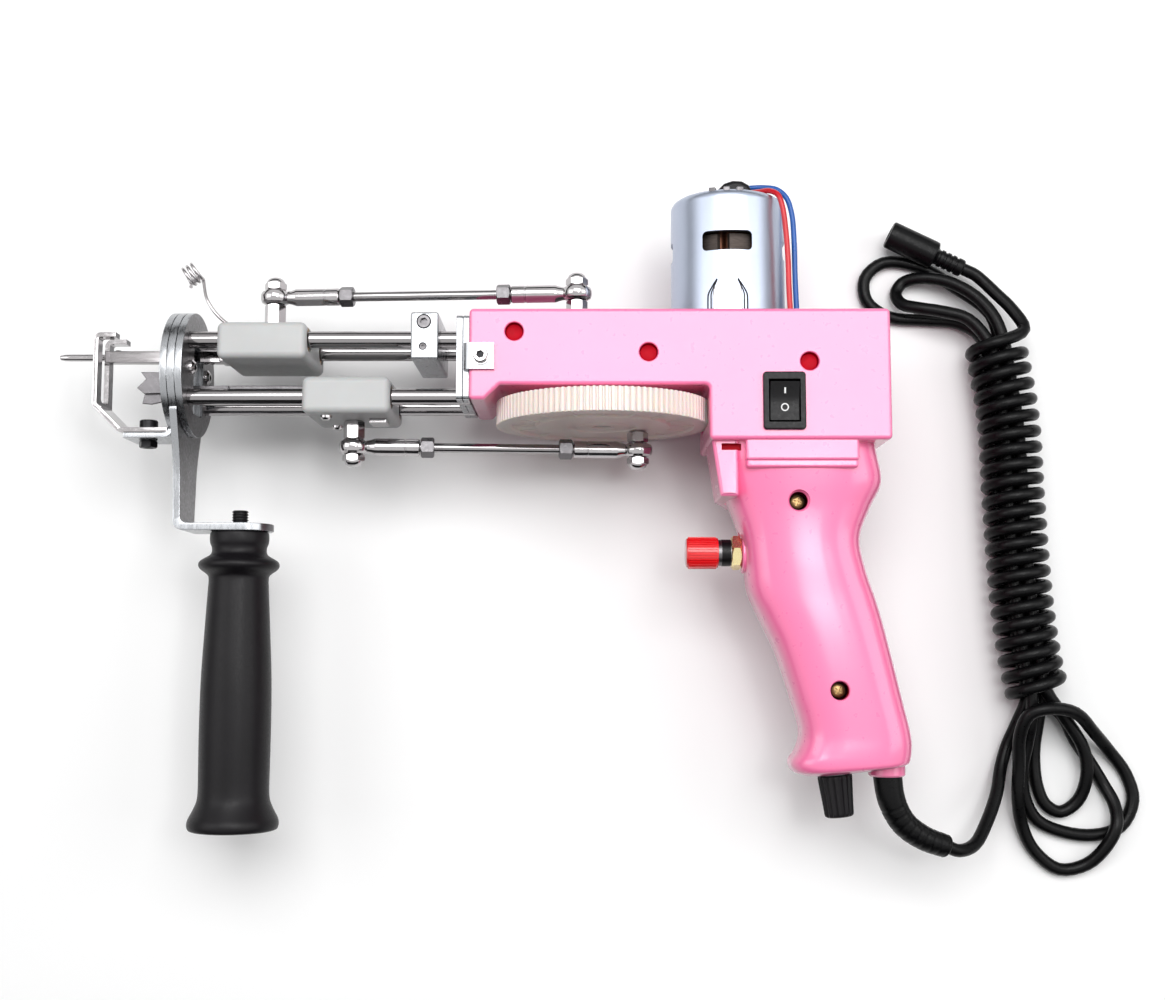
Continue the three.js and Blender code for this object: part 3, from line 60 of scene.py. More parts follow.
# Shapes are drawn in millimetres from the gear's centre, and moved to the frame when a piece is finished.
GEAR_CENTRE = Vector(next(j for j in frame["joints"] if j["name"] == "gear_spin")["pos_m"])
TO_FRAME = Matrix.Translation(GEAR_CENTRE) @ Matrix.Scale(0.001, 4)
AXES = {
    "x": Matrix(((0, 0, 1, 0), (1, 0, 0, 0), (0, 1, 0, 0), (0, 0, 0, 1))),
    "y": Matrix(((1, 0, 0, 0), (0, 0, 1, 0), (0, 1, 0, 0), (0, 0, 0, 1))),
    "z": Matrix.Identity(4),
}
FULL_TURN = 2 * math.pi


def span(node):
    """The lowest and highest corners of a frame node, in millimetres from the gear's centre."""
    low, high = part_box(node)
    return (low - GEAR_CENTRE) * 1000, (high - GEAR_CENTRE) * 1000


def stood(axis, x=0, y=0, z=0):
    """The matrix that stands what is drawn about Z along an axis, at a place."""
    return Matrix.Translation((x, y, z)) @ AXES[axis]


def added(name, data):
    """A new object in the scene."""
    thing = bpy.data.objects.new(name, data)
    bpy.context.scene.collection.objects.link(thing)
    return thing


# Solids


class Solid:
    """Corners and faces in millimetres, each face with the number of its finish."""

    def __init__(self, corners=(), faces=(), paint=None):
        self.corners = [Vector(c) for c in corners]
        self.faces = [tuple(f) for f in faces]
        self.paint = list(paint) if paint is not None else [0] * len(self.faces)

    def __add__(self, other):
        shift = len(self.corners)
        faces = self.faces + [tuple(i + shift for i in face) for face in other.faces]
        return Solid(self.corners + other.corners, faces, self.paint + other.paint)

    def put(self, matrix):
        faces = [face[::-1] for face in self.faces] if matrix.determinant() < 0 else self.faces
        return Solid([matrix @ c for c in self.corners], faces, self.paint)

    def moved(self, x=0, y=0, z=0):
        return self.put(Matrix.Translation((x, y, z)))

    def turned_about(self, angle, axis, place=(0, 0, 0)):
        centre = Matrix.Translation(place)
        return self.put(centre @ Matrix.Rotation(angle, 4, axis) @ centre.inverted())

    def painted(self, number):
        return Solid(self.corners, self.faces, [number] * len(self.faces))

    def middle(self, face):
        return sum((self.corners[i] for i in face), Vector()) / len(face)


def as_mesh(solid, name="draft", facing=False):
    mesh = bpy.data.meshes.new(name)
    mesh.from_pydata([tuple(c) for c in solid.corners], [], solid.faces)
    mesh.polygons.foreach_set("material_index", solid.paint)
    work = bmesh.new()
    work.from_mesh(mesh)
    bmesh.ops.remove_doubles(work, verts=work.verts, dist=1e-4)
    if facing:
        bmesh.ops.recalc_face_normals(work, faces=work.faces)
    work.to_mesh(mesh)
    work.free()
    mesh.update()
    return mesh


def as_solid(mesh):
    """The corners and faces of a mesh; faces of many corners are parted into triangles, as they may bridge to holes."""
    mesh.calc_loop_triangles()
    faces, paint = [], []
    for face in mesh.polygons:
        if len(face.vertices) <= 4:
            faces.append(tuple(face.vertices))
            paint.append(face.material_index)
    for part in mesh.loop_triangles:
        if len(mesh.polygons[part.polygon_index].vertices) > 4:
            faces.append(tuple(part.vertices))
            paint.append(mesh.polygons[part.polygon_index].material_index)
    return Solid([v.co.copy() for v in mesh.vertices], faces, paint)


def faced(solid):
    """A new closed shape with all its faces turned outwards, before anything is hollowed out of it."""
    mesh = as_mesh(solid, facing=True)
    result = as_solid(mesh)
    bpy.data.meshes.remove(mesh)
    return result


def draft(solid):
    """A throwaway object of a solid, for modifiers to work on."""
    return added("draft", as_mesh(solid))


def settled(thing):
    """The plain mesh of an object after its modifiers, as a new mesh."""
    graph = bpy.context.evaluated_depsgraph_get()
    return bpy.data.meshes.new_from_object(thing.evaluated_get(graph), depsgraph=graph)


def combined(base, others, way):
    """A solid after others are joined to it or cut from it."""
    target = draft(base)
    helpers = [draft(other) for other in others]
    for helper in helpers:
        modifier = target.modifiers.new("cut", "BOOLEAN")
        modifier.operation = way
        modifier.solver = "MANIFOLD"
        modifier.object = helper
    mesh = settled(target)
    result = as_solid(mesh)
    for thing in [target, *helpers]:
        bpy.data.objects.remove(thing)
    bpy.data.meshes.remove(mesh)
    return result


def joined(base, *others):
    return combined(base, others, "UNION")


def carved(base, *cutters):
    return combined(base, cutters, "DIFFERENCE")


def kept(base, room):
    return combined(base, [room], "INTERSECT")


def arc(a, b, radius, start, end, steps):
    return [
        (a + radius * math.cos(start + (end - start) * i / steps),
         b + radius * math.sin(start + (end - start) * i / steps))
        for i in range(steps + 1)
    ]


def circle(a, b, radius, sides=64):
    return arc(a, b, radius, 0, FULL_TURN, sides)[:-1]


def rounded(points, radius, steps=4):
    """An outline with its corners rounded; radius is one number, or one for each corner."""
    result = []
    count = len(points)
    for i, point in enumerate(points):
        here = Vector(point)
        before = Vector(points[i - 1]) - here
        after = Vector(points[(i + 1) % count]) - here
        size = radius[i] if isinstance(radius, (list, tuple)) else radius
        opening = before.angle(after)
        reach = min(size / math.tan(opening / 2), 0.45 * before.length, 0.45 * after.length)
        if reach < 1e-3 or opening > 3.1:
            result.append(tuple(here))
            continue
        size = reach * math.tan(opening / 2)
        middle = here + (before.normalized() + after.normalized()).normalized() * size / math.sin(opening / 2)
        start = here + before.normalized() * reach - middle
        end = here + after.normalized() * reach - middle
        for k in range(steps + 1):
            way = start.slerp(end, k / steps) if start.angle(end) > 1e-4 else start
            result.append(tuple(middle + way.normalized() * size))
    return result


def raised(profile, base, way=1):
    """A profile with its places counted from a base."""
    return [(radius, base + way * place) for radius, place in profile]


def mirrored(half):
    """A whole outline from its half below the middle line, which runs along the first number."""
    return [*half, *((a, -b) for a, b in reversed(half) if b)]


def oblong(a0, a1, b0, b1, radius, steps=4):
    return rounded([(a0, b0), (a1, b0), (a1, b1), (a0, b1)], radius, steps)


def slab(outline, low, high, axis="z", edge=0.0, holes=(), steps=2):
    """An outline with holes, pushed out from low to high along an axis, with its edges eased."""
    drawing = bpy.data.curves.new("outline", "CURVE")
    drawing.dimensions = "2D"
    drawing.fill_mode = "BOTH"
    for points in [outline, *holes]:
        line = drawing.splines.new("POLY")
        line.points.add(len(points) - 1)
        for spot, (a, b) in zip(line.points, points):
            spot.co = (a, b, 0, 1)
        line.use_cyclic_u = True
    drawing.extrude = (high - low) / 2 - edge
    drawing.bevel_depth = edge
    drawing.bevel_resolution = steps - 1
    drawing.offset = -edge
    thing = added("outline", drawing)
    mesh = settled(thing)
    result = faced(as_solid(mesh).painted(0)).moved(z=(low + high) / 2).put(AXES[axis])
    bpy.data.objects.remove(thing)
    bpy.data.curves.remove(drawing)
    bpy.data.meshes.remove(mesh)
    return result


def block(x0, x1, y0, y1, z0, z1, edge=0.0, steps=2):
    """A box between two corners, with its edges rounded."""
    work = bmesh.new()
    bmesh.ops.create_cube(work, size=1)
    size = Vector((x1 - x0, y1 - y0, z1 - z0))
    for vertex in work.verts:
        vertex.co = Vector((vertex.co.x * size.x, vertex.co.y * size.y, vertex.co.z * size.z))
        vertex.co += Vector((x0 + x1, y0 + y1, z0 + z1)) / 2
    if edge:
        bmesh.ops.bevel(work, geom=work.edges[:], offset=edge, segments=steps, profile=0.5, affect="EDGES")
    mesh = bpy.data.meshes.new("block")
    work.to_mesh(mesh)
    work.free()
    result = as_solid(mesh)
    bpy.data.meshes.remove(mesh)
    return result.painted(0)


def lofted(rings):
    """A skin over rings of points, closed with a fan at both ends."""
    sides, count = len(rings[0]), len(rings)
    corners = [Vector(p) for row in rings for p in row]
    faces = []
    for a in range(0, (count - 1) * sides, sides):
        b = a + sides
        faces += [(a + s, a + (s + 1) % sides, b + (s + 1) % sides, b + s) for s in range(sides)]
    for r, way in ((0, -1), (count - 1, 1)):
        middle = len(corners)
        corners.append(sum((Vector(p) for p in rings[r]), Vector()) / sides)
        ends = [(r * sides + s, r * sides + (s + 1) % sides, middle) for s in range(sides)]
        faces += [face[::way] for face in ends]
    return faced(Solid(corners, faces))


def turned(profile, axis="y", x=0, y=0, z=0, sides=64):
    """A body turned about an axis from pairs of radius and place, closed on the axis or round a hole."""
    hollow = profile[0][0] > 0
    corners, faces, rows = [], [], []
    for radius, place in profile:
        if radius <= 1e-6:
            rows.append([len(corners)])
            corners.append(Vector((0, 0, place)))
        else:
            rows.append(list(range(len(corners), len(corners) + sides)))
            corners += [Vector((a, b, place)) for a, b in circle(0, 0, radius, sides)]
    pairs = list(zip(rows, rows[1:])) + ([(rows[-1], rows[0])] if hollow else [])
    for low, high in pairs:
        for s in range(sides):
            n = (s + 1) % sides
            face = dict.fromkeys((low[s % len(low)], low[n % len(low)], high[n % len(high)], high[s % len(high)]))
            if len(face) > 2:
                faces.append(tuple(face))
    return faced(Solid(corners, faces)).put(stood(axis, x, y, z))


def bar(radius, low, high, axis="y", x=0, y=0, z=0, sides=64, edge=0.0):
    """A round bar with eased ends."""
    profile = [(0, low), (radius - edge, low), (radius, low + edge), (radius, high - edge), (radius - edge, high),
               (0, high)]
    return turned(eased(profile, edge), axis, x, y, z, sides)


def ring(hole, radius, low, high, axis="y", x=0, y=0, z=0, sides=64, edge=0.0):
    """A round bar with a hole along it and eased ends."""
    profile = [
        (hole, low + edge), (hole + edge, low), (radius - edge, low), (radius, low + edge), (radius, high - edge),
        (radius - edge, high), (hole + edge, high), (hole, high - edge),
    ]
    return turned(eased(profile, edge), axis, x, y, z, sides)


def eased(profile, edge):
    """A profile without the doubled places that an edge of 0 leaves."""
    return profile if edge else [p for i, p in enumerate(profile) if i == 0 or p != profile[i - 1]]


def smooth_line(points, steps):
    """A line through places with even curves between them, as the frame's cord is laid."""
    places = [Vector(p) for p in points]
    places = [2 * places[0] - places[1], *places, 2 * places[-1] - places[-2]]
    line = []
    for i in range(1, len(places) - 2):
        p0, p1, p2, p3 = places[i - 1:i + 3]
        t1 = (p1 - p0).length ** 0.5
        t2 = t1 + (p2 - p1).length ** 0.5
        t3 = t2 + (p3 - p2).length ** 0.5
        for k in range(steps):
            t = t1 + (t2 - t1) * k / steps
            a1 = p0 * ((t1 - t) / t1) + p1 * (t / t1)
            a2 = p1 * ((t2 - t) / (t2 - t1)) + p2 * ((t - t1) / (t2 - t1))
            a3 = p2 * ((t3 - t) / (t3 - t2)) + p3 * ((t - t2) / (t3 - t2))
            b1 = a1 * ((t2 - t) / t2) + a2 * (t / t2)
            b2 = a2 * ((t3 - t) / (t3 - t1)) + a3 * ((t - t1) / (t3 - t1))
            line.append(b1 * ((t2 - t) / (t2 - t1)) + b2 * ((t - t1) / (t2 - t1)))
    return [*line, places[-2]]


def spaced(points, count):
    """Evenly spaced places along a line of points."""
    lengths = [0.0]
    for a, b in zip(points, points[1:]):
        lengths.append(lengths[-1] + (b - a).length)
    result, k = [], 0
    for i in range(count + 1):
        want = lengths[-1] * i / count
        while k < len(points) - 2 and lengths[k + 1] < want:
            k += 1
        share = (want - lengths[k]) / max(lengths[k + 1] - lengths[k], 1e-9)
        result.append(points[k].lerp(points[k + 1], share))
    return result


def line_frames(points):
    """At each place of a line, the way it runs and a side that turns with it evenly."""
    ways = []
    for i in range(len(points)):
        ways.append((points[min(i + 1, len(points) - 1)] - points[max(i - 1, 0)]).normalized())
    side = Vector((0, 0, 1)).cross(ways[0])
    side = side.normalized() if side.length > 1e-3 else Vector((1, 0, 0))
    frames = []
    for way in ways:
        side = (side - way * side.dot(way)).normalized()
        frames.append((way, side, way.cross(side)))
    return frames


def swept(points, radii, sides=16):
    points = [Vector(p) for p in points]
    radii = radii if isinstance(radii, (list, tuple)) else [radii] * len(points)
    rings = []
    for point, radius, (_, side, up) in zip(points, radii, line_frames(points)):
        rings.append([point + (side * a + up * b) for a, b in circle(0, 0, radius, sides)])
    return lofted(rings)


def bent_strip(line, thickness, bend, steps=5):
    """The outline of a strip of sheet bent along a line of corners, with round bends."""
    sides = []
    for way in (0.5, -0.5):
        corners = []
        for i, point in enumerate(line):
            here = Vector(point)
            before = (here - Vector(line[i - 1])).normalized() if i else (Vector(line[1]) - here).normalized()
            after = (Vector(line[i + 1]) - here).normalized() if i < len(line) - 1 else before
            normal_a, normal_b = Vector((-before.y, before.x)), Vector((-after.y, after.x))
            middle = (normal_a + normal_b).normalized()
            corners.append(here + middle * way * thickness / max(middle.dot(normal_a), 0.2))
        sides.append(corners)
    outline = [tuple(p) for p in sides[0]] + [tuple(p) for p in reversed(sides[1])]
    last = len(line) - 1
    radii = []
    for side in (0, 1):
        order = range(last + 1) if side == 0 else range(last, -1, -1)
        for i in order:
            if i in (0, last):
                radii.append(0.0)
                continue
            a = Vector(line[i]) - Vector(line[i - 1])
            b = Vector(line[i + 1]) - Vector(line[i])
            outer = (a.x * b.y - a.y * b.x > 0) == (side == 1)
            radii.append(bend + thickness if outer else bend)
    return rounded(outline, radii, steps)


# Pieces


def finish_piece(name, body, solid, finishes, replaces=(), sharp=30):
    """Makes a piece of a solid, with its finishes, riding on its body; edges over the sharp angle aren't smoothed."""
    mesh = as_mesh(solid, name)
    mesh.transform(TO_FRAME)
    for look in [finishes] if isinstance(finishes, str) else finishes:
        mesh.materials.append(MADE[look])
    mesh.shade_smooth()
    mesh.set_sharp_from_angle(angle=math.radians(sharp))
    thing = added(name, mesh)
    thing.modifiers.new("even shading", "WEIGHTED_NORMAL").keep_sharp = True
    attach(thing, body)
    if replaces:
        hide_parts(*replaces)
    return thing


# Repeats, made with Geometry Nodes

TREES = {}


def repeating_tree(name, sockets=()):
    """A node tree that copies its Shape; where the copies stand and how they turn is linked in afterwards."""
    tree = bpy.data.node_groups.new(name, "GeometryNodeTree")
    tree.is_modifier = True
    face = tree.interface
    face.new_socket("Geometry", in_out="INPUT", socket_type="NodeSocketGeometry")
    face.new_socket("Shape", in_out="INPUT", socket_type="NodeSocketObject")
    for label, kind, start in sockets:
        face.new_socket(label, in_out="INPUT", socket_type=kind).default_value = start
    face.new_socket("Geometry", in_out="OUTPUT", socket_type="NodeSocketGeometry")
    new, link = tree.nodes.new, tree.links.new
    inputs, outputs = new("NodeGroupInput"), new("NodeGroupOutput")
    shape, place, real = (new(f"GeometryNode{kind}") for kind in ("ObjectInfo", "InstanceOnPoints", "RealizeInstances"))
    link(inputs.outputs["Shape"], shape.inputs["Object"])
    link(shape.outputs["Geometry"], place.inputs["Instance"])
    link(place.outputs["Instances"], real.inputs["Geometry"])
    link(real.outputs["Geometry"], outputs.inputs["Geometry"])
    return tree, new, link, inputs, place


def copies_tree():
    """Puts a copy of one shape at each point of a mesh, turned by the point's own angles."""
    tree, new, link, inputs, place = repeating_tree("Copies at places")
    angles = new("GeometryNodeInputNamedAttribute")
    angles.data_type = "FLOAT_VECTOR"
    angles.inputs["Name"].default_value = "angles"
    link(inputs.outputs["Geometry"], place.inputs["Points"])
    link(angles.outputs["Attribute"], place.inputs["Rotation"])
    return tree


def ring_tree():
    """Puts copies of one shape evenly round a circle about the Z axis, each facing outwards."""
    sockets = [("Count", "NodeSocketInt", 12), ("Radius", "NodeSocketFloat", 1)]
    tree, new, link, inputs, place = repeating_tree("Copies round a ring", sockets)
    loop, index = new("GeometryNodeMeshCircle"), new("GeometryNodeInputIndex")
    part, turn, spin = (new(f"ShaderNode{kind}") for kind in ("Math", "Math", "CombineXYZ"))
    part.operation, turn.operation = "DIVIDE", "MULTIPLY"
    turn.inputs[1].default_value = FULL_TURN
    link(inputs.outputs["Count"], loop.inputs["Vertices"])
    link(inputs.outputs["Radius"], loop.inputs["Radius"])
    link(index.outputs[0], part.inputs[0])
    link(inputs.outputs["Count"], part.inputs[1])
    link(part.outputs[0], turn.inputs[0])
    link(turn.outputs[0], spin.inputs["Z"])
    link(loop.outputs["Mesh"], place.inputs["Points"])
    link(spin.outputs["Vector"], place.inputs["Rotation"])
    return tree


def repeated(kind, shape, places, paint, values):
    """The plain solid that a tree makes of a shape and places, with its named inputs set."""
    source = draft(shape)
    mesh = bpy.data.meshes.new("places")
    mesh.from_pydata([tuple(point) for point, _ in places], [], [])
    angles = mesh.attributes.new("angles", "FLOAT_VECTOR", "POINT")
    angles.data.foreach_set("vector", [value for _, turn in places for value in turn])
    carrier = added("places", mesh)
    modifier = carrier.modifiers.new("repeat", "NODES")
    modifier.node_group = TREES[kind]
    values = {"Shape": source, **values}
    for item in TREES[kind].interface.items_tree:
        if item.in_out == "INPUT" and item.name in values:
            modifier[item.identifier] = values[item.name]
    made = settled(carrier)
    result = as_solid(made).painted(paint)
    for thing in (carrier, source):
        bpy.data.objects.remove(thing)
    bpy.data.meshes.remove(made)
    return result


def copies(shape, places, paint=0):
    """Copies of a solid at places, each a point and its angles about X, Y and Z."""
    return repeated("copies", shape, places, paint, {})


def round_row(shape, count, radius, paint=0):
    """Copies of a solid round the Z axis, at a radius along X."""
    return repeated("ring", shape, [((0, 0, 0), (0, 0, 0))], paint, {"Count": count, "Radius": radius})


# Finishes

MADE = {}
GRAIN_DEPTH = 0.0002


def fill(node, **values):
    """Sets inputs of a node, named with underscores in place of spaces."""
    for name, value in values.items():
        node.inputs[name.replace("_", " ")].default_value = value


def finish(name, colour, rough=0.4, metal=0.0, spread=0.06, mottle=60, grain=600, bump=0.03, swing=0.12,
           stretch=(1, 1, 1), **sockets):
    """A finish whose colour and gloss vary a little over the surface, with a fine grain."""
    made = bpy.data.materials.new(name)
    made.use_nodes = True
    tree = made.node_tree
    new, link = tree.nodes.new, tree.links.new
    shader = tree.nodes["Principled BSDF"]
    place, spot = new("ShaderNodeTexCoord"), new("ShaderNodeMapping")
    fill(spot, Scale=stretch)
    link(place.outputs["Object"], spot.inputs["Vector"])
    clouds, fine = new("ShaderNodeTexNoise"), new("ShaderNodeTexNoise")
    for noise, scale, detail in ((clouds, mottle, 3), (fine, grain, 2)):
        fill(noise, Scale=scale, Detail=detail)
        link(spot.outputs["Vector"], noise.inputs["Vector"])
    ramp = new("ShaderNodeValToRGB")
    for stop, position, share in zip(ramp.color_ramp.elements, (0.3, 0.7), (1 - spread, 1 + spread)):
        stop.position = position
        stop.color = (*(min(1, c * share) for c in colour), 1)
    link(clouds.outputs["Fac"], ramp.inputs["Fac"])
    link(ramp.outputs["Color"], shader.inputs["Base Color"])
    gloss = new("ShaderNodeMapRange")
    fill(gloss, From_Min=0.25, From_Max=0.75, To_Min=max(0.03, rough * (1 - swing)), To_Max=min(1, rough * (1 + swing)))
    link(fine.outputs["Fac"], gloss.inputs["Value"])
    link(gloss.outputs["Result"], shader.inputs["Roughness"])
    relief = new("ShaderNodeBump")
    fill(relief, Strength=bump, Distance=GRAIN_DEPTH)
    link(fine.outputs["Fac"], relief.inputs["Height"])
    link(relief.outputs["Normal"], shader.inputs["Normal"])
    fill(shader, Metallic=metal, **sockets)
    made.diffuse_color = (*colour, 1)
    MADE[name] = made


def linear(red, green, blue):
    """A screen colour of 0 to 255 as the shader's own numbers."""
    return tuple(((c / 255 + 0.055) / 1.055) ** 2.4 if c > 10 else c / 255 / 12.92 for c in (red, green, blue))


def make_finishes(props):
    """Makes every finish; the last numbers are the spread of colour, the scales of spots and grain, bump and swing."""
    pink = tuple(props.pink)
    finish("glossy pink shell", pink, 0.3, 0, 0.012, 25, 420, 0.003, Coat_Weight=1, Coat_Roughness=0.16)
    # Deep red painted shade for the walls of the screw holes, the slot by the lip and the plugs in the holes.
    finish("shell recess shade", linear(186, 2, 30), 0.45, 0, 0.1, 300, 900, Specular_IOR_Level=0.08)
    finish("zinc motor can", linear(176, 184, 200), 0.36, 1, 0.03, 30, 900, 0.01)
    finish("polished rail", linear(152, 149, 150), 0.1, 1, 0.04, 40, 900, 0.015, 0.4, (0.1, 1, 1))
    finish("chrome", linear(180, 177, 178), 0.11, 1, 0.06, 120, 700, 0.03, 0.5)
    finish("bright plate", linear(166, 168, 171), 0.27, 1, 0.05, 60, 1200, 0.06, 0.3, (1, 0.12, 1))
    finish("dull steel", linear(104, 102, 104), 0.34, 1, 0.12, 150, 900, 0.08, 0.3)
    finish("black oxide", linear(30, 30, 32), 0.36, 0.7, 0.2, 200, 900, 0.08, 0.3)
    finish("grey nylon", linear(186, 187, 187), 0.46, 0, 0.035, 55, 500, 0.06, 0.2, Subsurface_Weight=0.15,
           Subsurface_Scale=0.002)
    finish("bronze bush", linear(150, 122, 84), 0.35, 1, 0.15, 200, 900, 0.05)
    finish("moulded gear", linear(250, 232, 225), 0.42, 0, 0.012, 20, 500, 0.03, 0.2, Subsurface_Weight=0.35,
           Subsurface_Scale=0.003)
    finish("handle black", tuple(props.handle_black), 0.42, 0, 0.25, 90, 1500, 0.1, 0.2, Specular_IOR_Level=0.2)
    finish("switch black", linear(12, 11, 13), 0.36, 0, 0.2, 90, 900, 0.03, 0.3, Specular_IOR_Level=0.2)
    finish("white mark", linear(235, 235, 235), 0.5, 0, 0.03)
    finish("dark card", linear(38, 38, 40), 0.9, 0, 0.1)
    finish("red cap", tuple(props.cap_red), 0.2, 0, 0.08, 60, 500, 0.02, 0.2, Coat_Weight=0.5, Coat_Roughness=0.08)
    finish("brass", linear(238, 222, 168), 0.26, 1, 0.08, 150, 900, 0.04, 0.3)
    finish("black cord", tuple(props.cord_black), 0.34, 0, 0.25, 70, 900, 0.06, 0.3, Specular_IOR_Level=0.15)
    finish("blue wire", linear(8, 84, 166), 0.3, 0, 0.08, 80, 900)
    finish("red wire", linear(198, 8, 28), 0.3, 0, 0.08, 80, 900)
    finish("copper winding", linear(92, 58, 42), 0.4, 0.8, 0.25, 500, 1500, 0.2)
    finish("core steel", linear(66, 58, 54), 0.5, 0.7, 0.25, 400, 1500, 0.2, stretch=(1, 6, 1))


# Sizes of this machine, in millimetres

SHELL_HALF, SHELL_WALL = 23.5, 2.2
BOX_OUTLINE = [(-47.6, 2.1), (-42.2, 2.1), (-36.7, 7.5), (37.5, 7.5), (37.5, -12.1), (101.9, -12.1), (101.9, 35),
               (-47.6, 35)]
GRIP_FRONT, GRIP_DEPTH, GRIP_TOP, GRIP_LENGTH, GRIP_HALF = 40.7, 69.5, -12.1, 118.7, 17.0
GRIP_SHARES = [
    (-0.03, -0.07, 0.815, -0.07, 1.22), (-0.01, 0.04, 0.85, 0.035, 1.2), (0.035, 0.12, 0.868, 0.115, 1.13),
    (0.09, 0.2, 0.805, 0.195, 1.05), (0.134, 0.28, 0.752, 0.285, 1), (0.153, 0.365, 0.785, 0.39, 0.97),
    (0.171, 0.445, 0.825, 0.46, 0.95), (0.235, 0.53, 0.859, 0.53, 0.94), (0.308, 0.622, 0.9, 0.63, 0.93),
    (0.385, 0.76, 0.955, 0.77, 0.92), (0.432, 0.872, 0.997, 0.88, 0.92), (0.405, 0.925, 0.998, 0.92, 0.93),
    (0.373, 0.955, 0.99, 0.95, 0.93), (0.385, 0.985, 0.98, 0.962, 0.91), (0.415, 1, 0.965, 0.967, 0.86),
]
MOTOR_X, MOTOR_FOOT, MOTOR_RADIUS, CAN_TURN = 46.55, 20.0, 21.0, -0.098
GEAR_MODULE, PINION_TEETH = 0.7, 23
SWITCH_X, SWITCH_Y = 63.85, 1.55
TRIGGER_Y, TRIGGER_SEAT = -50.6, 50.4
SLEEVE_X, KNOB_ALONG = 101.9, 13.6
SLOT = (41.9, 49, -15.4, -13, 16.5, 26)
HEAD_MIDDLE, HEAD_RADIUS = 15.0, 23.0
UPPER_RAILS, LOWER_RAILS = 26.0, 5.0
RAILS = [(y, z) for y in (UPPER_RAILS, LOWER_RAILS) for z in (-12.0, 12.0)]
RAIL_RADIUS, RAIL_HOLE = 3, 3.15
PLATE_GAP, DISC_GAP = 0.06, 0.05
TAB_SCREW_X, TAB_SCREW_Y = -43.3, 17.55
HANDLE_X, HANDLE_TOP = -132.8, -43.0
NEEDLE_Y, UPPER_FACE, LOWER_FACE = 21.8, 31.4, -1.9
BLADE_PIVOT = (-160.1, 12.0)


def grip_x(share):
    return GRIP_FRONT + GRIP_DEPTH * share


def grip_y(share):
    return GRIP_TOP - GRIP_LENGTH * share


GRIP_TOE = Vector((grip_x(GRIP_SHARES[-1][0]), grip_y(GRIP_SHARES[-1][1])))
GRIP_HEEL = Vector((grip_x(GRIP_SHARES[-1][2]), grip_y(GRIP_SHARES[-1][3])))
GRIP_SLOPE = math.atan2(GRIP_HEEL.y - GRIP_TOE.y, GRIP_HEEL.x - GRIP_TOE.x)
SCREW_NODES = [f"housing_screw_{i}" for i in range(1, 6)]


def screw_places():
    """The five screw holes of the shell: across, up, and the half thickness of the shell there."""
    places = []
    for node in SCREW_NODES:
        low, high = span(node)
        places.append(((low.x + high.x) / 2, (low.y + high.y) / 2, high.z + 3.5))
    return places


def inset(points, distance):
    """An outline drawn in by a distance, without rounding."""
    result = []
    for i, point in enumerate(points):
        here, before, after = Vector(point), Vector(points[i - 1]), Vector(points[(i + 1) % len(points)])
        a = (here - before).normalized()
        b = (after - here).normalized()
        normal_a, normal_b = Vector((-a.y, a.x)), Vector((-b.y, b.x))
        result.append(tuple(here + (normal_a + normal_b) * distance / (1 + normal_a.dot(normal_b))))
    return result


def grip_body(wall=0.0, sides=72, steps=5):
    """The grip as sections between its smooth front and back lines, its foot rounded off."""
    fronts = smooth_line([(grip_x(s[0]), grip_y(s[1]), 0) for s in GRIP_SHARES], steps)
    backs = smooth_line([(grip_x(s[2]), grip_y(s[3]), 0) for s in GRIP_SHARES], steps)
    thick = smooth_line([(i, s[4], 0) for i, s in enumerate(GRIP_SHARES)], steps)
    rings = []
    for i, (front, back, share) in enumerate(zip(fronts, backs, thick), 1 - len(fronts)):
        draw_in = wall + 2.6 * max(0.0, 1 + i / 9) ** 2.2
        middle = (front + back) / 2
        across = (back - front) / 2
        half = across.length - draw_in
        depth = GRIP_HALF * share.y - draw_in
        across.normalize()
        points = []
        for k in range(sides):
            angle = FULL_TURN * k / sides
            a, b = (math.copysign(abs(v) ** (2 / 3.2), v) for v in (math.cos(angle), math.sin(angle)))
            point = middle + across * (half * a)
            points.append(Vector((point.x, point.y, depth * b)))
        rings.append(points)
    return lofted(rings)


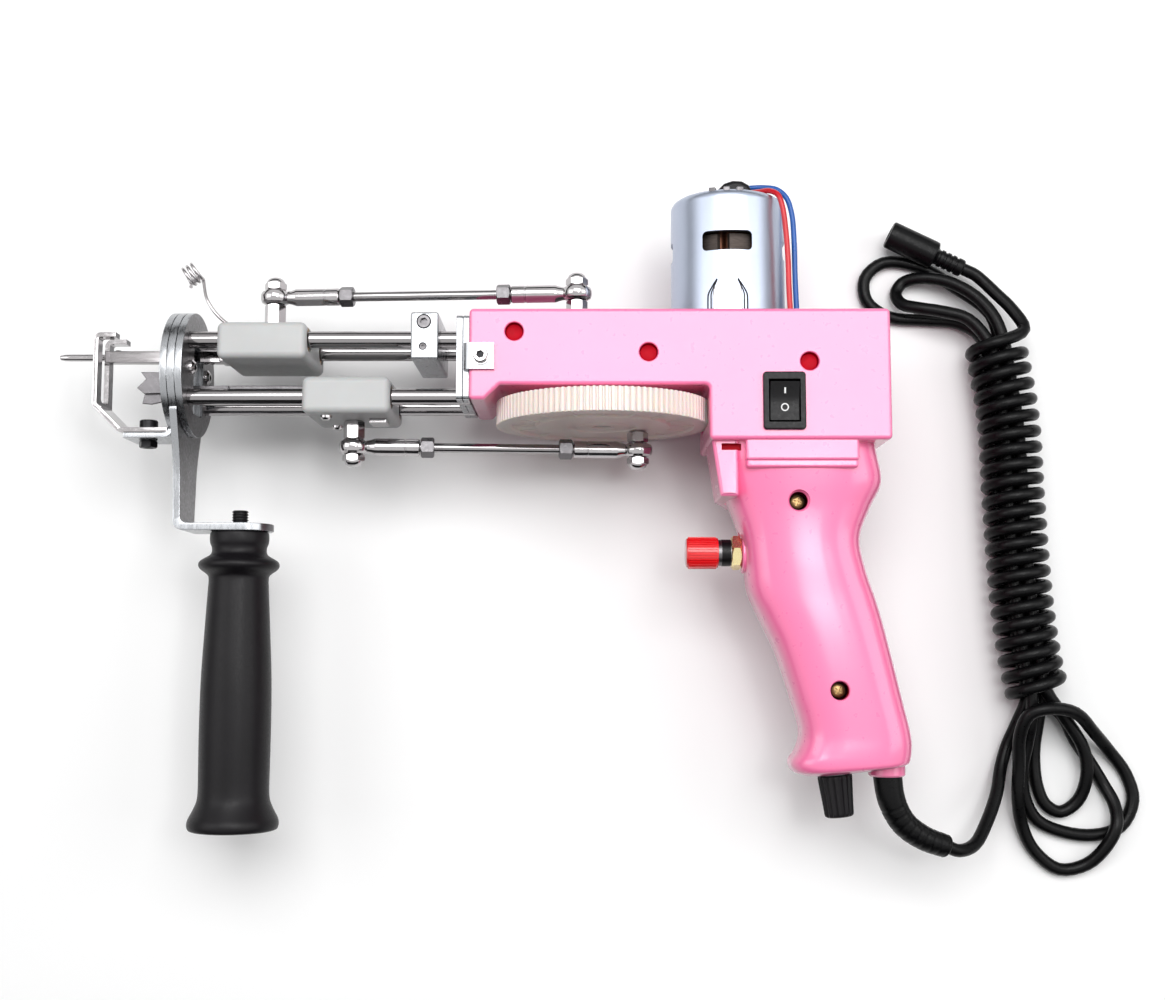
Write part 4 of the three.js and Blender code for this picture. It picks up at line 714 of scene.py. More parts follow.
def shell_solid():
    """The whole casing, hollow, with its holes, before it is parted into two halves."""
    box = slab(rounded(BOX_OUTLINE, 1.6, 5), -SHELL_HALF, SHELL_HALF, edge=1.3, steps=4)
    lip = block(50.2, 90.4, -19.4, -8, -22.3, 22.3, edge=1.2, steps=4)
    ledge = block(50.5, 90.1, -21.8, -16, -21.3, 21.3, edge=1.0, steps=3)
    column = slab(rounded([(38.2, -10), (48, -10), (47.9, -31.8), (41.4, -31.8)], 0.8), -8, 19.7, edge=1.2, steps=3)
    back = slab(rounded([(40, -10), (48, -10), (48, -33.8), (43.4, -30.8)], 0.8), -19.7, -6, edge=1.2, steps=3)
    pad = bar(7.5, TRIGGER_SEAT, 56, "x", 0, TRIGGER_Y, 0, edge=0.4)
    exit_x, exit_y = sleeve_exit()
    boss = bar(6.6, -3.4, 3.4, "y", exit_x, exit_y, 0, edge=0.6)
    outer = joined(box, grip_body(), lip, ledge, column, back, pad, boss)
    room = slab(inset(BOX_OUTLINE, SHELL_WALL), SHELL_WALL - SHELL_HALF, SHELL_HALF - SHELL_WALL, "z")
    grip_room = kept(grip_body(2.5, 40, 3), block(0, 130, -124, 0, -30, 30))
    hollow = joined(room, grip_room)
    shelf = block(-19, 19, 22.8, 25.6, -22.4, 22.4)
    seat = block(38.6, 100.8, 17.2, 20, -22.4, 22.4)
    whole = joined(carved(outer, hollow), shelf, seat)
    cuts = [
        block(*SLOT),
        bar(17.2, 30.6, 40, "y", sides=96),
        bar(8.2, 20, 40, "y"),
        bar(5.2, 0, 20, "y"),
        bar(MOTOR_RADIUS + 0.3, MOTOR_FOOT, 40, "y", MOTOR_X, sides=96),
        bar(6.8, 10, 25, "y", MOTOR_X),
        block(34, 43, -5.25, 5.25, -14.5, 14.5),
        block(SWITCH_X - 6.8, SWITCH_X + 6.8, SWITCH_Y - 9.8, SWITCH_Y + 9.8, 10, 30),
        bar(7.5, 43, TRIGGER_SEAT, "x", 0, TRIGGER_Y, 0),
        bar(5.05, 45, 75, "x", 0, TRIGGER_Y, 0),
        bar(5.6, -8, 12, "y", exit_x, exit_y, 0),
        bar(3.3, -5, 14, "y").turned_about(GRIP_SLOPE, "Z").moved(*knob_foot(), 0),
        bar(1.6, 27, 40, "y", MOTOR_X + 25, 0, 5),
        bar(1.6, 27, 40, "y", MOTOR_X + 21.6, 0, 12.8),
        bar(1.8, 18, 30, "z", TAB_SCREW_X, 17.5, 0),
    ]
    for x, y, half in screw_places():
        well = [(0, -5.5), (3.0, -5.5), (3.3, -5.2), (3.3, -0.35), (3.9, 0.3), (3.9, 4), (0, 4)]
        cuts.append(turned(raised(well, half), "z", x, y, 0, 40))
        cuts.append(bar(1.8, -12, half, "z", x, y, 0, 24))
    return carved(whole, *cuts)


def with_shaded_holes(half_shell):
    """The half shell with the walls of its screw holes and of the slot by the lip painted deep red, as painted shade.
    """
    holes = screw_places()
    for i, face in enumerate(half_shell.faces):
        middle = half_shell.middle(face)
        for x, y, half in holes:
            if half - 5.7 < middle.z < half - 0.3 and (middle.x - x) ** 2 + (middle.y - y) ** 2 < 3.5 ** 2:
                half_shell.paint[i] = 1
        x0, x1, y0, y1, z0, _ = SLOT
        if x0 - 0.1 < middle.x < x1 + 0.1 and y0 - 0.1 < middle.y < y1 + 0.1 and z0 - 0.1 < middle.z < 19.4:
            half_shell.paint[i] = 1
    return half_shell


def sleeve_exit():
    return SLEEVE_X, GRIP_TOE.y + (SLEEVE_X - GRIP_TOE.x) * math.tan(GRIP_SLOPE)


def knob_foot():
    return GRIP_TOE.x + KNOB_ALONG * math.cos(GRIP_SLOPE), GRIP_TOE.y + KNOB_ALONG * math.sin(GRIP_SLOPE)


class TUFTING_OT_shell(bpy.types.Operator):
    """Makes the two half shells of the casing and grip, and their screws"""

    bl_idname = "tufting.shell"
    bl_label = "Casing shells"

    def execute(self, context):
        whole = shell_solid()
        gap = context.scene.tufting_sizes.seam / 2
        near = with_shaded_holes(kept(whole, block(-200, 200, -200, 200, gap, 60)))
        # Plugs over the screws of the top three holes, in the same painted shade red as the hole walls.
        plug = [(0, -3.4), (3.2, -3.4), (3.2, -2.5), (2.8, -2.2), (2.2, -2.5), (0, -2.7)]
        for x, y, half in screw_places()[:3]:
            near += turned(raised(plug, half), "z", x, y, 0, 40).painted(1)
        far = kept(whole, block(-200, 200, -200, 200, -60, -gap))
        looks = ["glossy pink shell", "shell recess shade"]
        finish_piece("near_shell", "root", near, looks, ["housing_near"])
        finish_piece("far_shell", "root", far, looks, ["housing_far"])
        head = turned([(0, -5), (1.4, -5), (1.4, 0), (2.85, 0), (2.9, 0.7), (2.5, 1.5), (1.6, 1.9), (0, 2)], "z",
                      sides=32)
        head = carved(head, block(-1.5, 1.5, -0.32, 0.32, 0.8, 3), block(-0.32, 0.32, -1.5, 1.5, 0.8, 3))
        places = [((x, y, half - 5.45), (0, 0, 0.5 + 1.3 * i)) for i, (x, y, half) in enumerate(screw_places())]
        finish_piece("shell_screws", "root", copies(head, places), "bronze bush", SCREW_NODES, sharp=35)
        return {"FINISHED"}


def tooth_sizes(teeth):
    """The radii of a gear's tooth feet and tips, and the angle from tooth to tooth."""
    pitch = GEAR_MODULE * teeth / 2
    return pitch - GEAR_MODULE * 1.15, pitch + GEAR_MODULE * 0.85, FULL_TURN / teeth


class TUFTING_OT_gear(bpy.types.Operator):
    """Makes the large moulded gear, its shaft and the crank disc on top"""

    bl_idname = "tufting.gear"
    bl_label = "Gear, shaft and crank disc"

    def execute(self, context):
        teeth = context.scene.tufting_sizes.gear_teeth
        root, tip, step = tooth_sizes(teeth)
        body = turned([
            (4.15, -4.1), (4.4, -4.35), (9, -4.35), (9.5, -3.95), (12.2, -3.95), (12.7, -4.35), (24.5, -4.35),
            (25.1, -3.4), (33.4, -3.4), (34, -4.35), (root - 0.2, -4.35), (root + 0.1, -4.05), (root + 0.1, 4.05),
            (root - 0.2, 4.35), (4.4, 4.35), (4.15, 4.1),
        ], "z", sides=220)
        half_root, half_tip = root * step * 0.36, tip * step * 0.22
        depth = tip - root
        half = [(-0.4, -half_root), (0, -half_root), (depth - 0.12, -half_tip - 0.03), (depth, -half_tip + 0.06)]
        tooth = slab(mirrored(half), -4.3, 4.3, edge=0.12, steps=1)
        rib = block(-4.6, 4.6, -0.6, 0.6, -3.9, -3.2, 0.2, 1)
        solid = body + round_row(tooth, teeth, root) + round_row(rib, 16, 29)
        finish_piece("drive_gear_wheel", "drive", solid.put(AXES["y"]), "moulded gear", ["drive_gear"],
                     sharp=35)
        low, high = span("gear_shaft")
        shaft = turned([(0, low.y), (3.4, low.y), (4, low.y + 0.6), (4, high.y - 0.6), (3.4, high.y), (1.2, high.y),
                        (0, high.y - 0.9)], "y")
        finish_piece("drive_shaft", "drive", shaft, "chrome", ["gear_shaft"])
        low, high = span("crank_disc")
        disc = turned([(4.15, low.y + 0.4), (4.5, low.y), (16, low.y), (16.4, low.y + 0.4), (16.4, high.y - 0.5),
                       (15.9, high.y), (7.4, high.y), (7, high.y - 0.5), (5, high.y - 0.5), (4.15, high.y - 0.3)], "y",
                       sides=120)
        finish_piece("crank_plate", "drive", disc, "dull steel", ["crank_disc"])
        root, tip, step = tooth_sizes(PINION_TEETH)
        half_root, half_tip = root * step * 0.31, tip * step * 0.13
        tooth = mirrored([(-0.5, -half_root), (0, -half_root), (tip - root, -half_tip)])
        tooth = slab(tooth, -4.8, 4.8, edge=0.1, steps=1)
        core = turned([(2.65, -4.8), (root, -4.8), (root, 4.8), (5, 4.8), (5, 7.6), (4.7, 7.8), (2.65, 7.8)], "z")
        solid = (core + round_row(tooth, PINION_TEETH, root)).put(AXES["y"]).moved(MOTOR_X)
        finish_piece("motor_pinion_wheel", "rotor", solid, "brass", ["motor_pinion"], sharp=35)
        return {"FINISHED"}


class TUFTING_OT_motor(bpy.types.Operator):
    """Makes the motor with its can, end bell, armature and two wires"""

    bl_idname = "tufting.motor"
    bl_label = "Motor and wires"

    def execute(self, context):
        can = turned([
            (2.8, 17.4), (6.3, 17.4), (6.5, 17.6), (6.5, 20), (20.4, 20), (21, 20.6), (21, 76.8), (20.8, 78),
            (20.2, 79), (19.2, 79.7), (18, 80), (8, 80), (8, 78.8), (17.6, 78.8), (18.9, 78.2), (19.6, 77.2),
            (19.8, 76.4), (19.8, 21.2), (2.8, 21.2),
        ], "y", MOTOR_X, sides=128)
        window = slab(oblong(-8.9, 8.9, 57, 64.2, 1.6, 5), -30, 30).moved(MOTOR_X)
        across = slab(oblong(-6.2, 6.2, 57, 64.2, 1.6, 5), -30, 30).turned_about(math.pi / 2, "Y").moved(MOTOR_X)
        can = carved(can, window, across) + carved(ring(18.2, 19.6, 54, 68, "y", MOTOR_X, sides=96), window).painted(2)
        # The two thin lines in black oxide along each mark are painted shade of the pressed grooves in the can; the
        # wider strip inside them is chrome.
        for side in (-1, 1):
            marks = [([(3.7, 46.4), (5.6, 43.6), (7.0, 41.0), (7.2, 38.5), (7.2, 34.5)], 0.3, 2),
                     ([(3.7, 46.1), (4.9, 43.6), (5.9, 41.2), (6.0, 38.5), (6.0, 34.5)], 0.26, 2),
                     ([(4.3, 43.4), (4.8, 41.0), (4.9, 38.5), (4.9, 34.5)], 0.7, 1)]
            for line, radius, paint in marks:
                places = smooth_line([(side * a, b, 0) for a, b in line], 6)
                deep = MOTOR_RADIUS + 0.25 - radius
                turns = [(p.x / MOTOR_RADIUS, p.y) for p in places]
                around = [(MOTOR_X + deep * math.sin(turn), y, deep * math.cos(turn)) for turn, y in turns]
                can += swept(around, radius, 10).painted(paint)
        can = can.turned_about(CAN_TURN, "Y", (MOTOR_X, 0, 0))
        finish_piece("motor_shell", "root", can, ["zinc motor can", "chrome", "black oxide"], ["motor_can"],
                     sharp=32)
        bell = turned([(3, 75.4), (6.8, 75.4), (6.8, 79.6), (15.6, 79.6), (16.2, 80.1), (16.2, 80.5), (15.6, 80.9),
                       (9.6, 80.9), (9, 80.4), (3, 80.4)], "y", MOTOR_X, sides=96)
        tab = block(-0.9, 0.9, -1.2, 1.2, 77.6, 80.6, 0.3, 2)
        turns = [side * turn for side in (1, -1) for turn in (1.94, 1.67, 1.42)]
        places = [((19.1 * math.cos(turn), 19.1 * math.sin(turn), 0), (0, 0, turn)) for turn in turns]
        tabs = copies(tab, places).put(AXES["y"]).moved(MOTOR_X)
        dome = [(42, 80), (42, 82.2), (43, 84.6), (45.2, 86.8), (48.4, 87.9), (51.8, 87.7), (54.4, 86.2), (55.3, 84.6),
                (55.3, 80)]
        boot = slab(rounded(dome, 1.0, 3), -4.9, 4.9, edge=1.5, steps=4)
        solid = bell + tabs.painted(2) + boot.painted(1)
        finish_piece("motor_end_bell", "root", solid, ["zinc motor can", "switch black", "dull steel"],
                     ["motor_end_cap"])
        core = bar(2.5, -6.2, 26, "y", MOTOR_X, sides=32)
        top = bar(2.5, 26, 78.5, "y", MOTOR_X, sides=32)
        pole = mirrored([(3, -1.6), (14.5, -1.6), (15.6, -4.3), (17.2, -3.9), (17.5, 0)])
        pole = slab(pole, 30, 64, edge=0.2, steps=1)
        coil = block(6, 14.2, -4.6, 4.6, 27, 67, 1.8, 3)
        stack = round_row(pole, 9, 0).put(AXES["y"]).moved(MOTOR_X)
        winding = round_row(coil, 9, 0, 1).put(AXES["y"]).moved(MOTOR_X)
        commutator = turned([(2.5, 69), (8, 69), (8, 73.6), (2.5, 73.6)], "y", MOTOR_X, sides=24).painted(1)
        solid = core + top + stack + winding + commutator
        finish_piece("armature_core", "rotor", solid, ["core steel", "copper winding"], ["motor_armature"])
        routes = {
            "blue": [(7.6, 66, 0.6), (13.4, 65.8, 2), (18.2, 64.6, 3.4), (21.6, 61.2, 4.4), (23.5, 55, 4.8),
                     (24.2, 45, 5), (24.4, 30, 5), (25, 11.5, 5)],
            "red": [(7.6, 63.4, 3), (11.2, 62.4, 7.6), (14.6, 61.5, 11.6), (17.3, 59, 14.5), (18.7, 54.6, 15.1),
                    (19.8, 47, 14.6), (20.6, 36, 14), (20.9, 24, 13.6), (21.6, 11.5, 12.8)],
        }
        for colour, route in routes.items():
            line = smooth_line([(MOTOR_X + a, MOTOR_FOOT + b, c) for a, b, c in route], 8)
            wire = swept([line[0] + (line[0] - line[1]).normalized() * 1.5, *line], 1.0)
            finish_piece(f"motor_wire_{colour}", "root", wire, f"{colour} wire", [f"wire_{colour}"])
        return {"FINISHED"}


# Fasteners


def hexagon(radius, low, high, axis="y", x=0, y=0, z=0, turn=0.0):
    """A six-sided nut or post with its corners turned down at both ends."""
    ease = 0.13 * radius
    prism = slab(arc(0, 0, radius, turn, turn + FULL_TURN, 6)[:-1], low, high)
    cone = turned([(0, low), (radius - ease * 1.3, low), (radius + 0.02, low + ease), (radius + 0.02, high - ease),
                   (radius - ease * 1.3, high), (0, high)], "z", sides=48)
    return kept(prism, cone).put(stood(axis, x, y, z))


def socket_screw(radius, height, low, axis="y", x=0, y=0, z=0, way=1):
    """A round screw head standing on its seat, with the faces of its six-sided socket painted."""
    head = turned([(0, 0), (radius, 0), (radius, height - 0.35), (radius - 0.35, height), (0, height)], "z", sides=40)
    socket = slab(arc(0, 0, radius * 0.56, 0.3, 0.3 + FULL_TURN, 6)[:-1], height * 0.35, height + 1)
    head = carved(head, socket)
    for i, face in enumerate(head.faces):
        middle = head.middle(face)
        if middle.xy.length < radius * 0.6 and middle.z > height * 0.2:
            head.paint[i] = 1
    return head.put(stood(axis, x, y, z) @ Matrix.Translation((0, 0, low)) @ Matrix.Diagonal((1, 1, way, 1)))


def threaded(radius, low, high, pitch=1.0, axis="y", x=0, sides=32):
    """A bar with fine ridges in place of a thread."""
    count = max(2, round((high - low) / pitch))
    step, core = (high - low) / count, radius * 0.86
    profile = [(0, low), (core, low)]
    for i in range(count):
        start = low + step * i
        profile += [(core, start + step * 0.12), (radius, start + step * 0.45), (radius, start + step * 0.55),
                    (core, start + step * 0.88)]
    return turned([*profile, (core, high), (0, high)], axis, x, sides=sides)


# Plates, rails, head and handle

PLATES_FRONT, PLATES_MIDDLE, PLATES_REAR = -52.3, -49.95, -47.6
HEAD_LOW, DISC_REAR, HEAD_MIDDLE_X, HEAD_FRONT = -152.2, -149.6, -155.0, -157.5
SCREW_X, FOOT_X, ARM_TOP = -167.4, -185.9, -7.4


def rail_holes(low, high, heights=(UPPER_RAILS, LOWER_RAILS)):
    return [bar(RAIL_HOLE, low, high, "x", 0, y, z, 32) for y, z in RAILS if y in heights]


def plate(outline, low, high):
    return slab(outline, low, high, "x", edge=0.3)


def head_window(low, high):
    return slab(oblong(0, 25.2, -6.4, 6.4, 1.2, 4), low, high, "x")


class TUFTING_OT_rails(bpy.types.Operator):
    """Makes the two clamp plates, the four guide rods and the stop block"""

    bl_idname = "tufting.rails"
    bl_label = "Plates, guide rods and stop block"

    def execute(self, context):
        outline = oblong(2.4, 33, -21.5, 21.5, 1.5, 4)
        holes = rail_holes(PLATES_FRONT - 3, PLATES_REAR + 3)
        outer = carved(plate(outline, PLATES_FRONT, PLATES_MIDDLE - PLATE_GAP), *holes)
        finish_piece("clamp_plate", "root", outer, "bright plate", ["outer_plate"])
        strip = bent_strip([(17, PLATES_MIDDLE + 1.2), (24.3, PLATES_MIDDLE + 1.2), (24.3, -38.6)], 1.6, 0.8, 5)
        tab = slab([(x, z) for z, x in strip], 12.7, 22.4, "y", edge=0.2)
        hole = bar(1.8, 20, 28, "z", TAB_SCREW_X, TAB_SCREW_Y, 0, 32)
        inner = joined(plate(outline, PLATES_MIDDLE + PLATE_GAP, PLATES_REAR), carved(tab, hole))
        finish_piece("tab_plate", "root", carved(inner, *holes), "bright plate", ["inner_plate"])
        screw = ring(1.6, 3.4, 25.1, 25.7, "z", TAB_SCREW_X, TAB_SCREW_Y, 0, 40, 0.12)
        screw += socket_screw(2.7, 2.0, 25.7, "z", TAB_SCREW_X, TAB_SCREW_Y)
        screw += bar(1.5, 18.1, 25.9, "z", TAB_SCREW_X, TAB_SCREW_Y, 0, 24)
        finish_piece("tab_fastening", "root", screw, ["chrome", "black oxide"], ["tab_screw"])
        for number in range(1, 5):
            low, high = span(f"guide_rod_{number}")
            middle = (low + high) / 2
            rod = bar(RAIL_RADIUS, low.x, high.x, "x", 0, middle.y, middle.z, 48, 0.35)
            finish_piece(f"rail_{number}", "root", rod, "polished rail", [f"guide_rod_{number}"])
        stop = block(-68.9, -59, 17.6, 34.7, -19, 19, 0.8, 3)
        cuts = rail_holes(-72, -56, [UPPER_RAILS])
        cuts += [bar(2.7, 16.4, 21, "z", -64.2, 31.2, 0, 32), bar(1.45, 15, 21, "z", -64.5, 22.2, 0, 24)]
        stop = carved(stop, *cuts)
        stop += socket_screw(2.55, 2.3, 16.9, "z", -64.2, 31.2).painted(1)
        stop += socket_screw(1.4, 1.5, 17, "z", -64.5, 22.2).painted(1)
        finish_piece("rail_stop", "root", stop, ["bright plate", "dull steel"], ["stop_block"])
        return {"FINISHED"}


def shade_faces_along(solid, axis, paint=1):
    """The solid with the faces that look along an axis painted in another finish, as painted shade that makes a sheet's
    flat sides darker than its edges.
    """
    for i, face in enumerate(solid.faces):
        a, b, c = (solid.corners[k] for k in face[:3])
        if abs((b - a).cross(c - a).normalized()[axis]) > 0.75:
            solid.paint[i] = paint
    return solid


class TUFTING_OT_head(bpy.types.Operator):
    """Makes the three round head plates, the arm and its screw, and the adjustable presser foot"""

    bl_idname = "tufting.head"
    bl_label = "Head plates and presser foot"

    def execute(self, context):
        disc = circle(HEAD_MIDDLE, 0, HEAD_RADIUS, 120)
        rear = plate(disc, HEAD_LOW + DISC_GAP, DISC_REAR)
        # The rear disc's faces along X take dull steel as painted shade.
        rear = shade_faces_along(carved(rear, head_window(-160, -140), *rail_holes(-156, -146)), 0, 2)
        button = turned([(0, 0), (2.9, 0), (2.8, 0.9), (1.9, 1.7), (0, 1.9)], "z", sides=32)
        button = carved(button, slab(arc(0, 0, 1.2, 0, FULL_TURN, 6)[:-1], 0.8, 3))
        places = [((DISC_REAR, 16.2, z), (0, math.pi / 2, 0)) for z in (10.4, -10.4)]
        rear += copies(button, places, 1)
        finish_piece("head_rear_plate", "root", rear, ["bright plate", "chrome", "dull steel"],
                     ["rear_disc"])
        middle = plate(disc, HEAD_MIDDLE_X + DISC_GAP, HEAD_LOW - DISC_GAP)
        shape = rounded(mirrored([(2, -19), (-18, -11.5), (-38.2, -10)]), [2, 40, 0, 0, 40, 2], 6)
        leg = plate(shape, HEAD_MIDDLE_X + DISC_GAP, HEAD_LOW - DISC_GAP)
        centre = (HEAD_MIDDLE_X + HEAD_LOW) / 2
        bend = slab(bent_strip([(centre, -35), (centre, -41.6), (-128, -41.6)], 2.7, 2.2, 6), -10, 10, edge=0.3)
        pad = [*arc(-130.6, 0, 10, math.pi / 2, -math.pi / 2, 20), (-136, -10), (-136, 10)]
        pad = slab(pad, -42.95, -40.25, "y", edge=0.3)
        shaped = carved(joined(middle, leg, bend, pad), head_window(-160, -148), bar(3.1, -46, -38, "y", HANDLE_X))
        # The arm's faces along X take dull steel as painted shade.
        finish_piece("handle_arm", "root", shade_faces_along(shaped, 0), ["bright plate", "dull steel"],
                     ["handle_bracket"])
        front = plate(disc, HEAD_FRONT, HEAD_MIDDLE_X - DISC_GAP)
        strip = bent_strip([(HEAD_FRONT + 0.95, 0), (HEAD_FRONT + 0.95, ARM_TOP - 0.95), (-174.1, ARM_TOP - 0.95)],
                           1.9, 2.2, 6)
        front = joined(front, slab(strip, -9, 9, edge=0.25))
        front = carved(front, head_window(-160, -148), bar(2.1, -14, -4, "y", SCREW_X))
        finish_piece("head_front_plate", "root", front, "bright plate", ["front_disc"])
        screw = threaded(2, -11.9, -5, 0.7, "y", SCREW_X)
        screw += socket_screw(3.3, 3.6, -5.3, "y", SCREW_X).painted(0)
        screw += hexagon(3.4, -11.9, ARM_TOP - 1.9, "y", SCREW_X)
        screw += ring(2.1, 4.0, -5.42, -4.9, "y", SCREW_X, edge=0.1)
        finish_piece("foot_fastening", "root", screw, "black oxide", ["foot_screw"])
        low = ARM_TOP + 0.15
        line = [(FOOT_X + 8, 28.7), (FOOT_X + 0.9, 28.7), (FOOT_X + 0.9, 3.1), (FOOT_X + 10.3, low + 0.9),
                (-158.1, low + 0.9)]
        strip = slab(bent_strip(line, 1.8, 0.9, 5), -9, 9, edge=0.25)
        gap = rounded([(-4, 4.5), (4, 4.5), (4, 40), (-4, 40)], [1.6, 1.6, 0, 0], 4)
        gap = slab([(b, a) for a, b in gap], FOOT_X - 3, FOOT_X + 12, "x")
        slot = slab(oblong(SCREW_X - 2.4, SCREW_X + 7.4, -2.4, 2.4, 2.3, 5), low - 3, low + 4, "y")
        # The fork's faces along X take dull steel as painted shade.
        fork = shade_faces_along(carved(strip, gap, slot), 0)
        finish_piece("presser_fork", "foot", fork, ["chrome", "dull steel"], ["presser_foot"])
        return {"FINISHED"}


class TUFTING_OT_handle(bpy.types.Operator):
    """Makes the turned front handle and its threaded stud"""

    bl_idname = "tufting.handle"
    bl_label = "Front handle"

    def execute(self, context):
        outline = [
            (3.2, 0), (9.9, 0), (10.4, -0.4), (10.6, -1.2), (10.5, -4), (9.9, -5.6), (9.8, -7.2), (10.3, -8.4),
            (12.2, -9.6), (14, -10.8), (14.5, -11.8), (14.4, -12.8), (13.6, -13.9), (11.8, -15.2), (10.9, -16.2),
            (10.7, -17.6), (10.8, -20), (11.3, -29), (11.8, -38.5), (12.3, -48), (12.6, -57), (12.7, -66), (12.7, -76),
            (12.6, -86), (12.6, -94), (12.9, -96.6), (13.8, -99), (15, -101.4), (15.9, -103.2), (16.2, -104.6),
            (16.1, -105.8), (15.6, -106.8), (14.6, -107.2),
        ]
        outer = smooth_line([(r, y, 0) for r, y in outline], 3)
        profile = [(0, -24), (3.2, -24), *((p.x, p.y) for p in outer), (10, -107.3), (8, -106.8), (0, -106.8)]
        body = turned(raised(profile, HANDLE_TOP), "y", HANDLE_X, sides=96)
        finish_piece("handle_grip", "root", body, "handle black", ["front_handle"], sharp=40)
        screw = threaded(3, HANDLE_TOP - 22, -35.2, 1.0, "y", HANDLE_X)
        finish_piece("handle_screw", "root", screw, "black oxide", ["handle_stud"], sharp=50)
        return {"FINISHED"}


# Carriages, needle and scissors

UPPER_STUD, LOWER_STUD = -121.588, -91.623
UPPER_PIN, LOWER_PIN = Vector((-9.477, 0, 6.514)), Vector((13.186, 0, -9.062))
UPPER_LINK, LOWER_LINK = 112.3, 105.2
UPPER_EYE, LOWER_EYE = 44.4, -11.5


def carriage_body(node, height):
    """The block of a carriage, bored for the rods at its height, with a bush in each bore."""
    low, high = span(node)
    rods = [z for y, z in RAILS if y == height]
    body = block(low.x, high.x, low.y, high.y, -19, 19, 2.4, 5)
    body = carved(body, *(bar(4.6, low.x - 2, high.x + 2, "x", 0, height, z, 40) for z in rods))
    for z in rods:
        body += ring(3.12, 4.55, low.x + 0.5, high.x - 0.5, "x", 0, height, z, 40, 0.2).painted(1)
    return body


class TUFTING_OT_needle(bpy.types.Operator):
    """Makes the upper carriage, the needle with its bar, and the wire yarn guide"""

    bl_idname = "tufting.needle"
    bl_label = "Needle carriage"

    def execute(self, context):
        body = carriage_body("upper_carriage", UPPER_RAILS)
        finish_piece("needle_slider", "needle_carriage", body, ["grey nylon", "bronze bush"],
                     ["upper_carriage"])
        low, high = span("needle_bar")
        flange = block(high.x - 2.4, high.x, low.y, high.y, -5.2, 5.2, 0.3, 2)
        square = block(low.x, high.x - 1, 19.6, 24, -2.2, 2.2, 0.35, 2)
        joint = carved(joined(flange, square), bar(1.45, low.x - 2, low.x + 8.3, "x", 0, NEEDLE_Y, 0, 24))
        joint += socket_screw(1.3, 0.5, 24, "y", low.x + 4.5).painted(1)
        for z in (-3.6, 3.6):
            joint += socket_screw(1.1, 0.8, high.x - 2.4, "x", 0, 25.4, z, -1).painted(1)
        finish_piece("needle_holder", "needle_carriage", joint, ["polished rail", "black oxide"],
                     ["needle_bar"])
        low, high = span("needle")
        tube = turned([(0, high.x), (1.3, high.x), (1.3, low.x + 5), (1.24, low.x + 3), (0.95, low.x + 1.4),
                       (0.2, low.x), (0, low.x)], "x", 0, NEEDLE_Y, 0, 32)
        slope = block(-1, 9, -3, 0, -3, 3).turned_about(math.radians(-11), "Z").moved(low.x - 0.6, NEEDLE_Y - 0.75)
        channel = bar(0.8, low.x - 1, low.x + 12, "x", 0, NEEDLE_Y - 0.05, 0, 20)
        finish_piece("hollow_needle", "needle_carriage", carved(tube, slope, channel), "chrome", ["needle"])
        lean = math.radians(32)
        axis, side = Vector((math.cos(lean), math.sin(lean), 0)), Vector((-math.sin(lean), math.cos(lean), 0))
        reach, rise, loop = 31.4, 21.8, 5.1
        line = [(a, 0.8, b) for a, b in arc(0, 0, loop, -math.pi / 2, math.pi / 2, 16)]
        shares = [(0.159, 0.037, 0.96), (0.318, 0.041, 0.863), (0.478, 0.073, 0.706), (0.65, 0.248, 0.549),
                  (0.796, 0.55, 0.47)]
        line += [(-a * reach, b * rise, c * loop) for a, b, c in shares]
        coil = []
        turns, steps = 3, 24
        for i in range(turns * steps + 1):
            angle = FULL_TURN * i / steps - math.pi / 2
            place = side * (3.6 * math.sin(angle)) + axis * (1.8 * (turns / 2 - i / steps))
            coil.append((place.x - reach, place.y + rise, 3.6 * math.cos(angle)))
        stem = smooth_line([*line[-7:], coil[0], coil[1]], 6)[6:-6]
        points = [Vector(p) + Vector((UPPER_STUD, UPPER_FACE, 0)) for p in line[:-6] + stem + coil[1:]]
        finish_piece("yarn_eye", "needle_carriage", swept(points, 0.62, 12), "chrome", ["yarn_guide"],
                     sharp=60)
        return {"FINISHED"}


def blade_plate(points, low, high):
    return slab(points, low, high, edge=0.15, steps=1)


